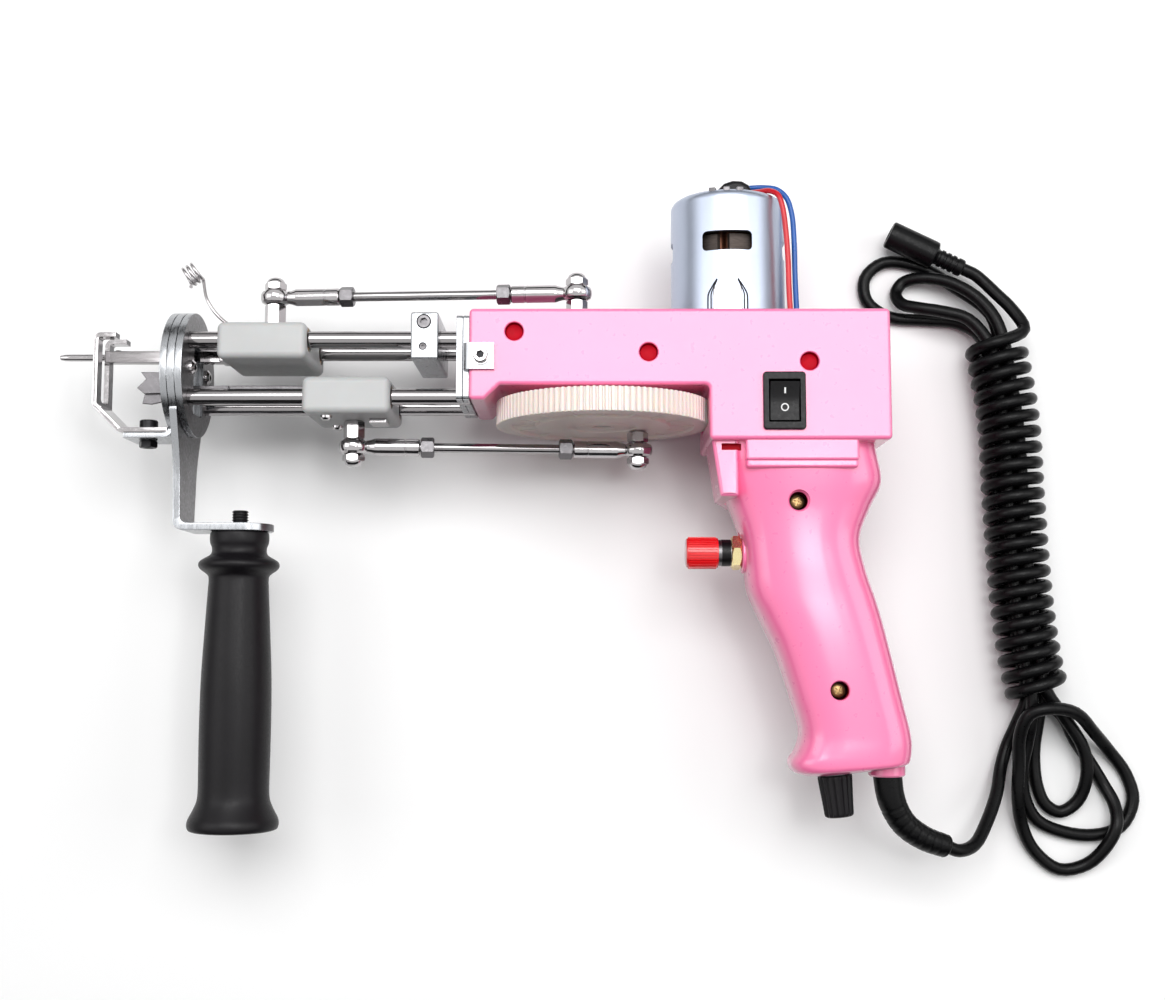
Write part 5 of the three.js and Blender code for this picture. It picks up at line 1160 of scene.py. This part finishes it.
class TUFTING_OT_scissors(bpy.types.Operator):
    """Makes the lower carriage and the pair of blades that it drives"""

    bl_idname = "tufting.scissors"
    bl_label = "Scissor carriage"

    def execute(self, context):
        low, high = span("lower_carriage")
        body = carriage_body("lower_carriage", LOWER_RAILS)
        pan = turned([(0, 0), (2.2, 0), (2.1, 0.9), (1.4, 1.6), (0, 1.8)], "z", sides=32)
        body += copies(pan, [((-99.8, low.y + 0.1, z), (math.pi / 2, 0, 0)) for z in (-12, 12)], 2)
        body += block(-85, -78.8, low.y - 2.0, low.y + 0.2, -1.6, 7.4, 0.4, 2).painted(2)
        finish_piece("scissor_slider", "scissor_carriage", body, ["grey nylon", "bronze bush", "chrome"],
                     ["lower_carriage"])
        low, high = span("scissor_bar")
        strip = block(low.x, high.x - 1, 7.6, 11.3, -3.2, 0, 0.2, 1)
        flange = block(high.x - 2.4, high.x, low.y, 11.3, -5, 5, 0.3, 2)
        finish_piece("blade_holder", "scissor_carriage", joined(strip, flange), "dull steel", ["scissor_bar"])
        fixed = [(-11.7, -1.7), (-9, -3.9), (0, -3.6), (3, -3.4), (8, -4.15), (22, -4.15), (22, -0.95), (8, -0.95),
                 (3, 2.4), (0, 4.2), (-10.4, 4.2), (-8.4, 1.6)]
        fixed = blade_plate(fixed, 0.1, 1.5)
        hub = bar(3.1, 0.1, 1.5, "z", sides=40, edge=0.15)
        rivet = bar(1.4, -2.5, 1.5, "z", sides=24)
        heads = turned([(0, 1.4), (2.4, 1.5), (2.2, 2), (1.4, 2.3), (0, 2.3)], "z", sides=32)
        back = turned([(0, -2.5), (1.4, -2.5), (2.2, -2.2), (2.4, -1.7), (0, -1.6)], "z", sides=32)
        finish_piece("blade_fixed", "scissor_carriage", (joined(fixed, hub, rivet) + heads + back).moved(*BLADE_PIVOT),
                     "dull steel", ["fixed_blade"])
        cutting = blade_plate([(-11.6, -4.4), (-8.4, -5.6), (-1, -5.9), (2, -2), (0, 2), (-9.6, -0.6)], -1.5, -0.1)
        cutting = cutting.turned_about(math.radians(15), "Z")
        tail = blade_plate([(0, -1.3), (10.5, -4.7), (10.5, -2.1), (0, 1.3)], -1.5, -0.1)
        moving = carved(joined(cutting, tail, bar(3.1, -1.5, -0.1, "z", sides=40)), bar(1.55, -4, 3, "z", sides=24))
        finish_piece("blade_moving", "blade", moving.moved(*BLADE_PIVOT), "dull steel", ["moving_blade"])
        return {"FINISHED"}


# Linkage


def rod_end():
    """A ball joint's housing at the origin, with its shank along X."""
    half = [(2.2, -2.6), (3.9, -2.6), (4.2, -2.3), (5, -1.9), (5.45, -0.9), (5.5, 0)]
    lug = turned(mirrored(half), "y", sides=56)
    shank = turned([(0, 4), (2.3, 4), (2.4, 5.2), (2.75, 6.6), (3.15, 7.7), (3.2, 8.2), (3.2, 18.6), (3.05, 18.75),
                    (3.05, 19.15), (3.2, 19.3), (3.2, 23.8), (2.9, 24.2), (0, 24.2)], "x", sides=40)
    return joined(lug, shank)


def link_bar(length):
    core = bar(1.75, 23, length - 23, "x", sides=32)
    ends = threaded(1.8, 23.4, 33, 0.6, "x", sides=24) + threaded(1.8, length - 33, length - 23.4, 0.6, "x", sides=24)
    nuts = hexagon(3.8, 24.5, 29.5, "x") + hexagon(3.8, length - 29.5, length - 24.5, "x")
    return core + ends + nuts.painted(1)


def ball_stud(face, eye, up, spigot):
    """The stud through an eye, from its six-sided foot to its domed nut."""
    seat = eye - up * 2.75
    nut_low, nut_high = eye + up * 2.75, eye + up * 5.55
    foot = hexagon(3.9, min(face, seat), max(face, seat))
    pin = bar(1.9, min(face - up * spigot, nut_low), max(face - up * spigot, nut_low), sides=24)
    nut = hexagon(4.1, min(nut_low, nut_high), max(nut_low, nut_high))
    dome = raised([(3.4, -0.2), (3.35, 0.3), (2.9, 1.1), (2.1, 1.7), (1.1, 2), (0, 2)], nut_high, up)
    return foot + pin + nut + turned(dome[::-1], "y", sides=36)


class TUFTING_OT_links(bpy.types.Operator):
    """Makes the two crank rods with their ball ends and studs"""

    bl_idname = "tufting.links"
    bl_label = "Crank rods"

    def execute(self, context):
        sets = [
            ("upper", UPPER_STUD, UPPER_PIN, UPPER_LINK, UPPER_EYE, UPPER_FACE, 35.75, 1, "needle_carriage"),
            ("lower", LOWER_STUD, LOWER_PIN, LOWER_LINK, LOWER_EYE, LOWER_FACE, -4.7, -1, "scissor_carriage"),
        ]
        for side, stud_x, pin, length, eye, front_face, rear_face, up, carriage in sets:
            swing = math.asin(pin.z / length)
            body = f"{side}_rod"

            def lay(solid):
                return solid.turned_about(-swing, "Y").moved(stud_x, eye)

            front = rod_end()
            rear = front.turned_about(math.pi, "Y").moved(length)
            for place, end in (("front", front), ("rear", rear)):
                finish_piece(f"{side}_ball_end_{place}", body, lay(end), "chrome", [f"{side}_{place}_end"],
                             sharp=35)
            finish_piece(f"{side}_crank_rod", body, lay(link_bar(length)), ["polished rail", "dull steel"],
                         [f"{side}_link_rod"], sharp=50)
            front = ball_stud(front_face, eye, up, 6).moved(stud_x)
            finish_piece(f"{side}_stud_front", carriage, front, "chrome", [f"{side}_front_stud"], sharp=35)
            rear = ball_stud(rear_face, eye, up, 0).moved(pin.x, 0, pin.z)
            finish_piece(f"{side}_stud_rear", "drive", rear, "chrome", [f"{side}_rear_stud"], sharp=35)
        return {"FINISHED"}


# Switch, trigger and knob


class TUFTING_OT_controls(bpy.types.Operator):
    """Makes the rocker switch, the red trigger button with its barrel, and the speed knob"""

    bl_idname = "tufting.controls"
    bl_label = "Switch, trigger and knob"

    def execute(self, context):
        x, y, face = SWITCH_X, SWITCH_Y, 25.1
        rim = slab(oblong(x - 7.5, x + 7.5, y - 10.3, y + 10.3, 1.2, 4), SHELL_HALF, face, edge=0.45, steps=3)
        body = block(x - 6.5, x + 6.5, y - 9.5, y + 9.5, 10.5, 24)
        opening = block(x - 5.6, x + 5.6, y - 7.7, y + 7.7, 12.5, 30)
        bezel = carved(joined(rim, body), opening)
        finish_piece("switch_frame", "root", bezel, "switch black", ["rocker_frame"])
        curve = [(-6.8, 1.6), *((1.7 * i, 0.7 + 0.9 * abs(i / 4) ** 1.4) for i in range(-3, 4))]
        outline = [(6.8, -1.4), (3.2, -5.4), (-3.2, -5.4), (-6.8, -1.4), *curve, (6.8, 1.6)]
        key = slab(outline, -5.2, 5.2, "x", edge=0.35, steps=2)
        marks = slab([(-0.28, 2.6), (0.28, 2.6), (0.28, 4.6), (-0.28, 4.6)], 0.6, 1.28)
        marks += slab(circle(0, -2.3, 1.4, 32), 0.6, 1.2, holes=[circle(0, -2.3, 0.98, 32)])
        solid = (key + marks.painted(1)).turned_about(math.radians(9), "X").moved(x, y, face - 1)
        finish_piece("switch_key", "rocker_key", solid, ["switch black", "white mark"], ["rocker"])
        low, high = span("trigger_button")
        cap_low, cap_high = low.x, low.x + 11.7
        cap = [(0, cap_low), (4.7, cap_low), (5.2, cap_low + 0.25), (5.5, cap_low + 0.9), (5.55, cap_high - 0.4),
               (5.4, cap_high), (5.15, cap_high), (5.15, cap_low + 2.4), (2, cap_low + 2.4), (2, high.x), (0, high.x)]
        cap = turned(cap, "x", 0, TRIGGER_Y)
        rib = slab([(-0.3, -0.28), (0.3, -0.14), (0.3, 0.14), (-0.3, 0.28)], -5.2, 5.0, edge=0.06, steps=1)
        ribs = round_row(rib, 36, 5.56).put(AXES["x"]).moved((cap_low + cap_high) / 2 + 0.2, TRIGGER_Y)
        finish_piece("trigger_cap", "trigger", cap + ribs, "red cap", ["trigger_button"])
        barrel = carved(bar(4.75, 37.2, 70, "x", 0, TRIGGER_Y, 0, 48, 0.4),
                        bar(2.3, 34, 61.2, "x", 0, TRIGGER_Y, 0, 24))
        collar = ring(4.72, 4.9, 43.2, 46.4, "x", 0, TRIGGER_Y, 0, 48, 0.05).painted(1)
        nut = hexagon(6.4, 46.7, 50.35, "x", 0, TRIGGER_Y, 0, 0.3).painted(2)
        finish_piece("trigger_sleeve", "root", barrel + collar + nut, ["dull steel", "switch black", "brass"],
                     ["trigger_barrel"])
        flutes, rings = 18, []
        for place, radius, depth in ((9, 3, 0), (-1.2, 3, 0), (-1.2, 6.1, 0.25), (-1.6, 6.25, 0.4), (-2.6, 6.2, 0.5),
                                     (-10, 5.6, 0.5), (-14.4, 5.3, 0.45), (-15.3, 5.1, 0.3), (-15.8, 4.5, 0.1)):
            points = []
            for i in range(flutes * 8):
                angle = FULL_TURN * i / (flutes * 8)
                r = radius - depth * (0.5 - 0.5 * math.cos(angle * flutes)) ** 0.6
                points.append((r * math.cos(angle), place, r * math.sin(angle)))
            rings.append(points)
        knob = lofted(rings).turned_about(GRIP_SLOPE, "Z").moved(*knob_foot())
        finish_piece("speed_dial", "knob", knob, "handle black", ["speed_knob"], sharp=50)
        washer = ring(3.3, 5.2, -1.0, -0.1, "y", sides=40, edge=0.15).turned_about(GRIP_SLOPE, "Z").moved(*knob_foot())
        finish_piece("dial_washer", "root", washer, "dull steel")
        return {"FINISHED"}


# Cord

CORD_RADIUS = 2.4
TABLE = -39.095  # how high the table lies, seen from the gear's axis
# Places of the cord in millimetres: behind the gear's axis, towards the motor, and height over the table.
SLEEVE_ROUTE = [
    (101.8, -121, 39.1), (101.9, -126, 39.1), (102.2, -131, 39), (103.6, -139.5, 38.4), (108, -147.6, 36.6),
    (115.6, -153.2, 34), (125, -156.8, 30.8),
]
LEAD_ROUTE = [
    (125, -156.8, 30.8), (129.5, -158.4, 29.2), (136.4, -157, 24.4), (143, -149.6, 17.6), (148.8, -139.6, 11),
    (152.2, -130, 5.8), (155.2, -122, 4.2), (157.7, -116, 5.6), (159.6, -111, 7.2),
]
HANK_START = [(159.6, -111, 7.2), (161.3, -106.4, 8.7)]
HANK_AXIS = [
    (165, -101.7, 11.9), (162.4, -88, 11.9), (160, -66, 11.9), (158.2, -30, 11.9), (157, 4, 11.9), (153, 32, 11.9),
]
FOLD_A = [
    (147, 38.6, 6.2), (139.6, 43, 3.8), (128, 44.2, 2.6), (113.6, 45.6, 2.6), (105.2, 52, 2.6), (104.6, 61, 2.6),
    (112, 67.4, 2.6), (126, 65.9, 2.6), (140.2, 57, 3.6), (152.6, 45.6, 7.2),
]
FOLD_B = [
    (152.7, 42.4, 13.8), (146.1, 51.6, 11.4), (135.5, 58.3, 9), (125.1, 60.3, 6), (119.2, 59, 3.2),
    (116.5, 54.5, 3.6), (118.1, 49.5, 7.6), (123.7, 47.2, 11), (132.9, 45.2, 13), (142.4, 42.1, 13.6),
]
LOOP_A = [
    (166.9, -112, 6.2), (165.9, -124, 2.8), (166.5, -136.6, 2.6), (169.7, -144.5, 2.6), (175.2, -147.3, 2.6),
    (181.6, -143.1, 3.8), (184.2, -133.1, 7.6), (182.7, -123.2, 9.6), (175.7, -111.8, 11.6),
]
LOOP_B = [
    (162, -112, 13.4), (161.5, -121, 9.2), (160.2, -131, 6.2), (161.5, -141.9, 3.8), (166.3, -150.4, 2.6),
    (176, -154.8, 2.6), (188, -156, 2.6), (197.9, -152.9, 2.6), (203.2, -142.9, 2.6), (200.7, -132.8, 2.6),
    (193.8, -123.9, 4.8), (186.4, -116.9, 11), (177.6, -109.3, 17.6), (167.3, -107.5, 21),
]
LOOP_C = [
    (159.8, -109.6, 19.8), (156.9, -117.6, 15.8), (157.4, -129, 11.6), (157.4, -140.8, 9), (159.8, -151.9, 4.6),
    (164.8, -161.8, 2.6), (174, -168.8, 2.6), (184.5, -166.8, 3.4), (191.1, -159.3, 7.2), (194.5, -151.6, 8.6),
    (195, -144.2, 5.4), (192.1, -137, 2.6), (187.3, -128.7, 2.6), (181.7, -120.2, 2.6), (177, -110.7, 2.6),
]
HANK_EXIT = [
    (163, 37.5, 16.6), (159.6, 46, 13.2), (154, 53.2, 10.6), (149.6, 58.4, 9), (146.5, 61.1, 8.8), (142, 63.3, 8.8),
]
HANK_TURNS, TURN_STEPS, WRAP_RADIUS, STRAND_ASIDE = 22.5, 10, 9.5, 2.75
STRAND_SHARES = [0, 0.05, 0.25, 0.5, 0.75, 0.95, 1]
LINES = {}


def on_table(places):
    return [Vector((x, y, height + TABLE)) for x, y, height in places]


def about_hank(share, aside, above):
    """A place beside the hank's middle line: aside and above it, at a share of its length."""
    count = 2000
    if "hank" not in LINES:
        LINES["hank"] = spaced(smooth_line(on_table(HANK_AXIS), 60), count)
    axis = LINES["hank"]
    at = share * count
    low = min(int(at), count - 1)
    point = axis[low].lerp(axis[low + 1], at - low)
    way = (axis[low + 1] - axis[low]).normalized()
    side = way.cross(Vector((0, 0, 1))).normalized()
    return point + side * aside + Vector((0, 0, above))


def strand(aside, above, upward):
    return [about_hank(share if upward else 1 - share, aside, above) for share in STRAND_SHARES]


def wrap_place(share, turns):
    angle = -math.pi / 2 - FULL_TURN * turns
    return about_hank(share, WRAP_RADIUS * math.cos(angle), WRAP_RADIUS * math.sin(angle))


def cord_line():
    """The whole cord as one line, from inside the grip to its connector."""
    steps = round(HANK_TURNS * TURN_STEPS)

    def wrap(i):
        return wrap_place(i / steps, i / TURN_STEPS)

    folds = [
        *on_table(HANK_START), *strand(-STRAND_ASIDE, -STRAND_ASIDE, True), *on_table(FOLD_A),
        *strand(STRAND_ASIDE, -STRAND_ASIDE, False), *on_table(LOOP_A), *strand(STRAND_ASIDE, STRAND_ASIDE, True),
        *on_table(FOLD_B), *strand(-STRAND_ASIDE, STRAND_ASIDE, False), *on_table(LOOP_B), *on_table(LOOP_C),
        wrap(0), wrap(1),
    ]
    fine = 4
    sleeve = smooth_line(on_table(SLEEVE_ROUTE), fine)
    lead = smooth_line(on_table(LEAD_ROUTE), fine)
    line = sleeve[:-1] + lead[:-1] + smooth_line(folds, fine)[:-fine]
    line += [wrap(i / 2) for i in range(1, 2 * steps)]
    back = [wrap(steps - 1), wrap(steps), *on_table(HANK_EXIT)]
    return line + smooth_line(back, fine)[fine:]


class TUFTING_OT_cord(bpy.types.Operator):
    """Makes the cord with its sleeve and connector, bound in a hank"""

    bl_idname = "tufting.cord"
    bl_label = "Cord in its hank"

    def execute(self, context):
        line = cord_line()
        tube = swept(line, CORD_RADIUS, 20)
        cord = finish_piece("power_cord", "root", tube, "black cord", ["cord_lead", "cord_hank"],
                            sharp=60)
        count = 90
        places = spaced(smooth_line(on_table(SLEEVE_ROUTE), 10), count)
        radii = []
        for i in range(count + 1):
            share = max(0.0, i / count - 0.2) / 0.8
            radii.append(5.2 - 1.0 * share - 0.18 * (i % 6 == 3 and share > 0.25))
        radii[-1] -= 0.9
        radii[-2] -= 0.25
        sleeve = finish_piece("cord_boot", "root", swept(places, radii, 40), "black cord",
                              ["cord_sleeve"], sharp=50)
        before, end = on_table(HANK_EXIT)[-2:]
        way = math.atan2(end.y - before.y, end.x - before.x)
        profile = [(0, 0.15), (2.9, 0.15), (3.3, 0.6)]
        for i in range(4):
            profile += raised([(3.4, 1.6), (3.4, 2.9), (2.95, 3.1), (2.95, 3.8)], 2.4 * i)
        profile += [(3.4, 11.6), (4.6, 12.0), (5.2, 12.4), (5.4, 13), (5.4, 31.2), (5.1, 31.8), (4.6, 32), (2.8, 32),
                    (2.8, 23), (0, 23)]
        barrel = turned(profile, "x", sides=56)
        pin = turned([(0, 23.2), (0.9, 23.2), (0.9, 30), (0, 30.5)], "x", sides=20).painted(1)
        solid = (barrel + pin).turned_about(way, "Z").moved(*end)
        plug = finish_piece("cord_socket", "root", solid, ["black cord", "chrome"], ["cord_connector"])
        return {"FINISHED"}


# Bearings stay as the frame has them.


class TUFTING_OT_bearings(bpy.types.Operator):
    """Gives the frame's own bearings their finish"""

    bl_idname = "tufting.bearings"
    bl_label = "Bearings"

    def execute(self, context):
        for name in ("upper_bearing", "lower_bearing"):
            node = bpy.data.objects[name]
            node.data.materials.clear()
            node.data.materials.append(MADE["dull steel"])
        return {"FINISHED"}


# Stage, in metres

CAMERA_PLACE, CAMERA_TURN = (0.0408566, -0.0550136, 0.5710371), (0.1033, 0.0043, 0.0004)
FLOOR_HALF, FLOOR_LIT, FLOOR_SEEN = 6, 0.3, 0.97


def lamp(name, size, place, aim, energy, depth=None):
    light = bpy.data.lights.new(name, "AREA")
    light.shape = "RECTANGLE"
    light.size = size
    light.size_y = depth or size
    light.energy = energy
    thing = added(name, light)
    thing.location = place
    thing.rotation_euler = (Vector(aim) - Vector(place)).to_track_quat("-Z", "Y").to_euler()


def dark_card(name, corners):
    """A dark card that stands outside the view, for polished metal to show."""
    mesh = bpy.data.meshes.new(name)
    mesh.from_pydata(corners, [], [(0, 1, 2, 3)])
    mesh.materials.append(MADE["dark card"])
    thing = added(name, mesh)
    thing.visible_camera = False


def looked_at(tree):
    """An output that is 1 for rays from the camera or from something glossy, and 0 for all others."""
    rays, seen = tree.nodes.new("ShaderNodeLightPath"), tree.nodes.new("ShaderNodeMath")
    seen.operation = "MAXIMUM"
    for i, kind in enumerate(("Camera", "Glossy")):
        tree.links.new(rays.outputs[f"Is {kind} Ray"], seen.inputs[i])
    return seen.outputs[0]


class TUFTING_OT_camera(bpy.types.Operator):
    """Sets the camera over the machine, as in the photograph"""

    bl_idname = "tufting.camera"
    bl_label = "Camera"

    def execute(self, context):
        camera = bpy.data.cameras.new("camera")
        camera.sensor_width = 36
        camera.lens = context.scene.tufting_sizes.lens * 1000
        camera.clip_start = 0.01
        thing = added("camera", camera)
        thing.location, thing.rotation_euler = CAMERA_PLACE, CAMERA_TURN
        context.scene.camera = thing
        return {"FINISHED"}


class TUFTING_OT_stage(bpy.types.Operator):
    """Makes the pale floor, the soft lamps and the surroundings"""

    bl_idname = "tufting.stage"
    bl_label = "Floor and lamps"

    def execute(self, context):
        scene = context.scene
        scene.view_settings.view_transform = "Standard"  # keeps the white background white
        mesh = bpy.data.meshes.new("floor")
        mesh.from_pydata([(x, y, 0) for y in (-FLOOR_HALF, FLOOR_HALF) for x in (-FLOOR_HALF, FLOOR_HALF)], [],
                         [(0, 1, 3, 2)])
        floor = added("floor", mesh)
        paint = bpy.data.materials.new("pale floor")
        paint.use_nodes = True
        tree = paint.node_tree
        shader, shade = tree.nodes["Principled BSDF"], tree.nodes.new("ShaderNodeMixRGB")
        fill(shade, Color1=(FLOOR_LIT,) * 3 + (1,), Color2=(FLOOR_SEEN,) * 3 + (1,))
        fill(shader, Roughness=0.9, Specular_IOR_Level=0.1)
        tree.links.new(looked_at(tree), shade.inputs["Fac"])
        tree.links.new(shade.outputs["Color"], shader.inputs["Base Color"])
        mesh.materials.append(paint)
        world = bpy.data.worlds.new("studio")
        world.use_nodes = True
        scene.world = world
        tree = world.node_tree
        tree.nodes.clear()
        out, mix = tree.nodes.new("ShaderNodeOutputWorld"), tree.nodes.new("ShaderNodeMixShader")
        tree.links.new(looked_at(tree), mix.inputs["Fac"])
        for i, strength in enumerate((scene.tufting_sizes.ambient, 1), 1):
            light = tree.nodes.new("ShaderNodeBackground")
            fill(light, Color=(1, 1, 1, 1), Strength=strength)
            tree.links.new(light.outputs[0], mix.inputs[i])
        tree.links.new(mix.outputs[0], out.inputs["Surface"])
        dark_card("near card", [(-2, -0.9, 0), (2, -0.9, 0), (2, -1.1, 1), (-2, -1.1, 1)])
        dark_card("rear card", [(-2, 1.2, 0), (2, 1.2, 0), (2, 1.3, 0.5), (-2, 1.3, 0.5)])
        dark_card("left card", [(-1.5, -0.9, 0), (-1.5, 1.2, 0), (-1.6, 1.3, 0.35), (-1.6, -1.1, 0.35)])
        dark_card("right card", [(1.6, -0.9, 0), (1.6, 1.2, 0), (1.7, 1.3, 0.35), (1.7, -1.1, 0.35)])
        lamp("overhead softbox", 1.1, (0.1, 0.42, 1.2), (0.03, 0.05, 0.05), 12, depth=0.7)
        lamp("left softbox", 0.7, (-0.85, 0.15, 0.85), (0, 0, 0.03), 3.2)
        lamp("right softbox", 0.7, (1.0, 0.15, 0.8), (0, 0, 0.03), 3.2)
        lamp("sheen lamp", 0.12, (0.208, 0.001, 0.655), (0.118, -0.029, 0.05), 0.3, depth=0.07)
        return {"FINISHED"}


# Panel, sizes and start


class TuftingSizes(bpy.types.PropertyGroup):
    """The sizes and colours that a user would change"""

    pink: FloatVectorProperty(name="Shell colour", description="Colour of the pink casing", subtype="COLOR",
                              default=linear(252, 124, 174), min=0, max=1)
    handle_black: FloatVectorProperty(name="Handle colour", description="Colour of the front handle", subtype="COLOR",
                                      default=linear(15, 13, 16), min=0, max=1)
    cap_red: FloatVectorProperty(name="Trigger colour", description="Colour of the trigger's cap", subtype="COLOR",
                                 default=linear(226, 22, 30), min=0, max=1)
    cord_black: FloatVectorProperty(name="Cord colour", description="Colour of the cord's sheath", subtype="COLOR",
                                    default=linear(7, 7, 8), min=0, max=1)
    gear_teeth: IntProperty(name="Gear teeth", description="Teeth round the large gear", default=110, min=20, max=200)
    seam: FloatProperty(name="Seam", description="Gap between the two half shells, in millimetres", default=0.16, min=0)
    lens: FloatProperty(name="Lens", description="Focal length of the camera", default=0.045093, min=0.01,
                        unit="LENGTH")
    ambient: FloatProperty(name="Soft light", description="Strength of the light from all round", default=0.3, min=0)


STEPS = [
    TUFTING_OT_camera, TUFTING_OT_cord, TUFTING_OT_shell, TUFTING_OT_gear, TUFTING_OT_motor, TUFTING_OT_rails,
    TUFTING_OT_head, TUFTING_OT_handle, TUFTING_OT_needle, TUFTING_OT_scissors, TUFTING_OT_links, TUFTING_OT_controls,
    TUFTING_OT_bearings, TUFTING_OT_stage,
]


class TUFTING_PT_panel(bpy.types.Panel):
    """Lists the machine's pieces and sizes"""

    bl_idname = "TUFTING_PT_panel"
    bl_label = "Tufting machine"
    bl_space_type = "VIEW_3D"
    bl_region_type = "UI"
    bl_category = "Tufting"

    def draw(self, context):
        sizes = context.scene.tufting_sizes
        for name in ("pink", "handle_black", "cap_red", "cord_black", "gear_teeth", "seam", "lens", "ambient"):
            self.layout.prop(sizes, name)
        for step in STEPS:
            self.layout.operator(step.bl_idname)


CLASSES = [TuftingSizes, *STEPS, TUFTING_PT_panel]


def register():
    for each in CLASSES:
        bpy.utils.register_class(each)
    bpy.types.Scene.tufting_sizes = PointerProperty(type=TuftingSizes)


def unregister():
    del bpy.types.Scene.tufting_sizes
    for each in reversed(CLASSES):
        bpy.utils.unregister_class(each)


def main():
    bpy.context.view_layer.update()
    register()
    make_finishes(bpy.context.scene.tufting_sizes)
    TREES["copies"], TREES["ring"] = copies_tree(), ring_tree()
    for step in STEPS:
        getattr(bpy.ops.tufting, step.bl_idname.split(".")[1])()


if __name__ == "__main__":
    main()
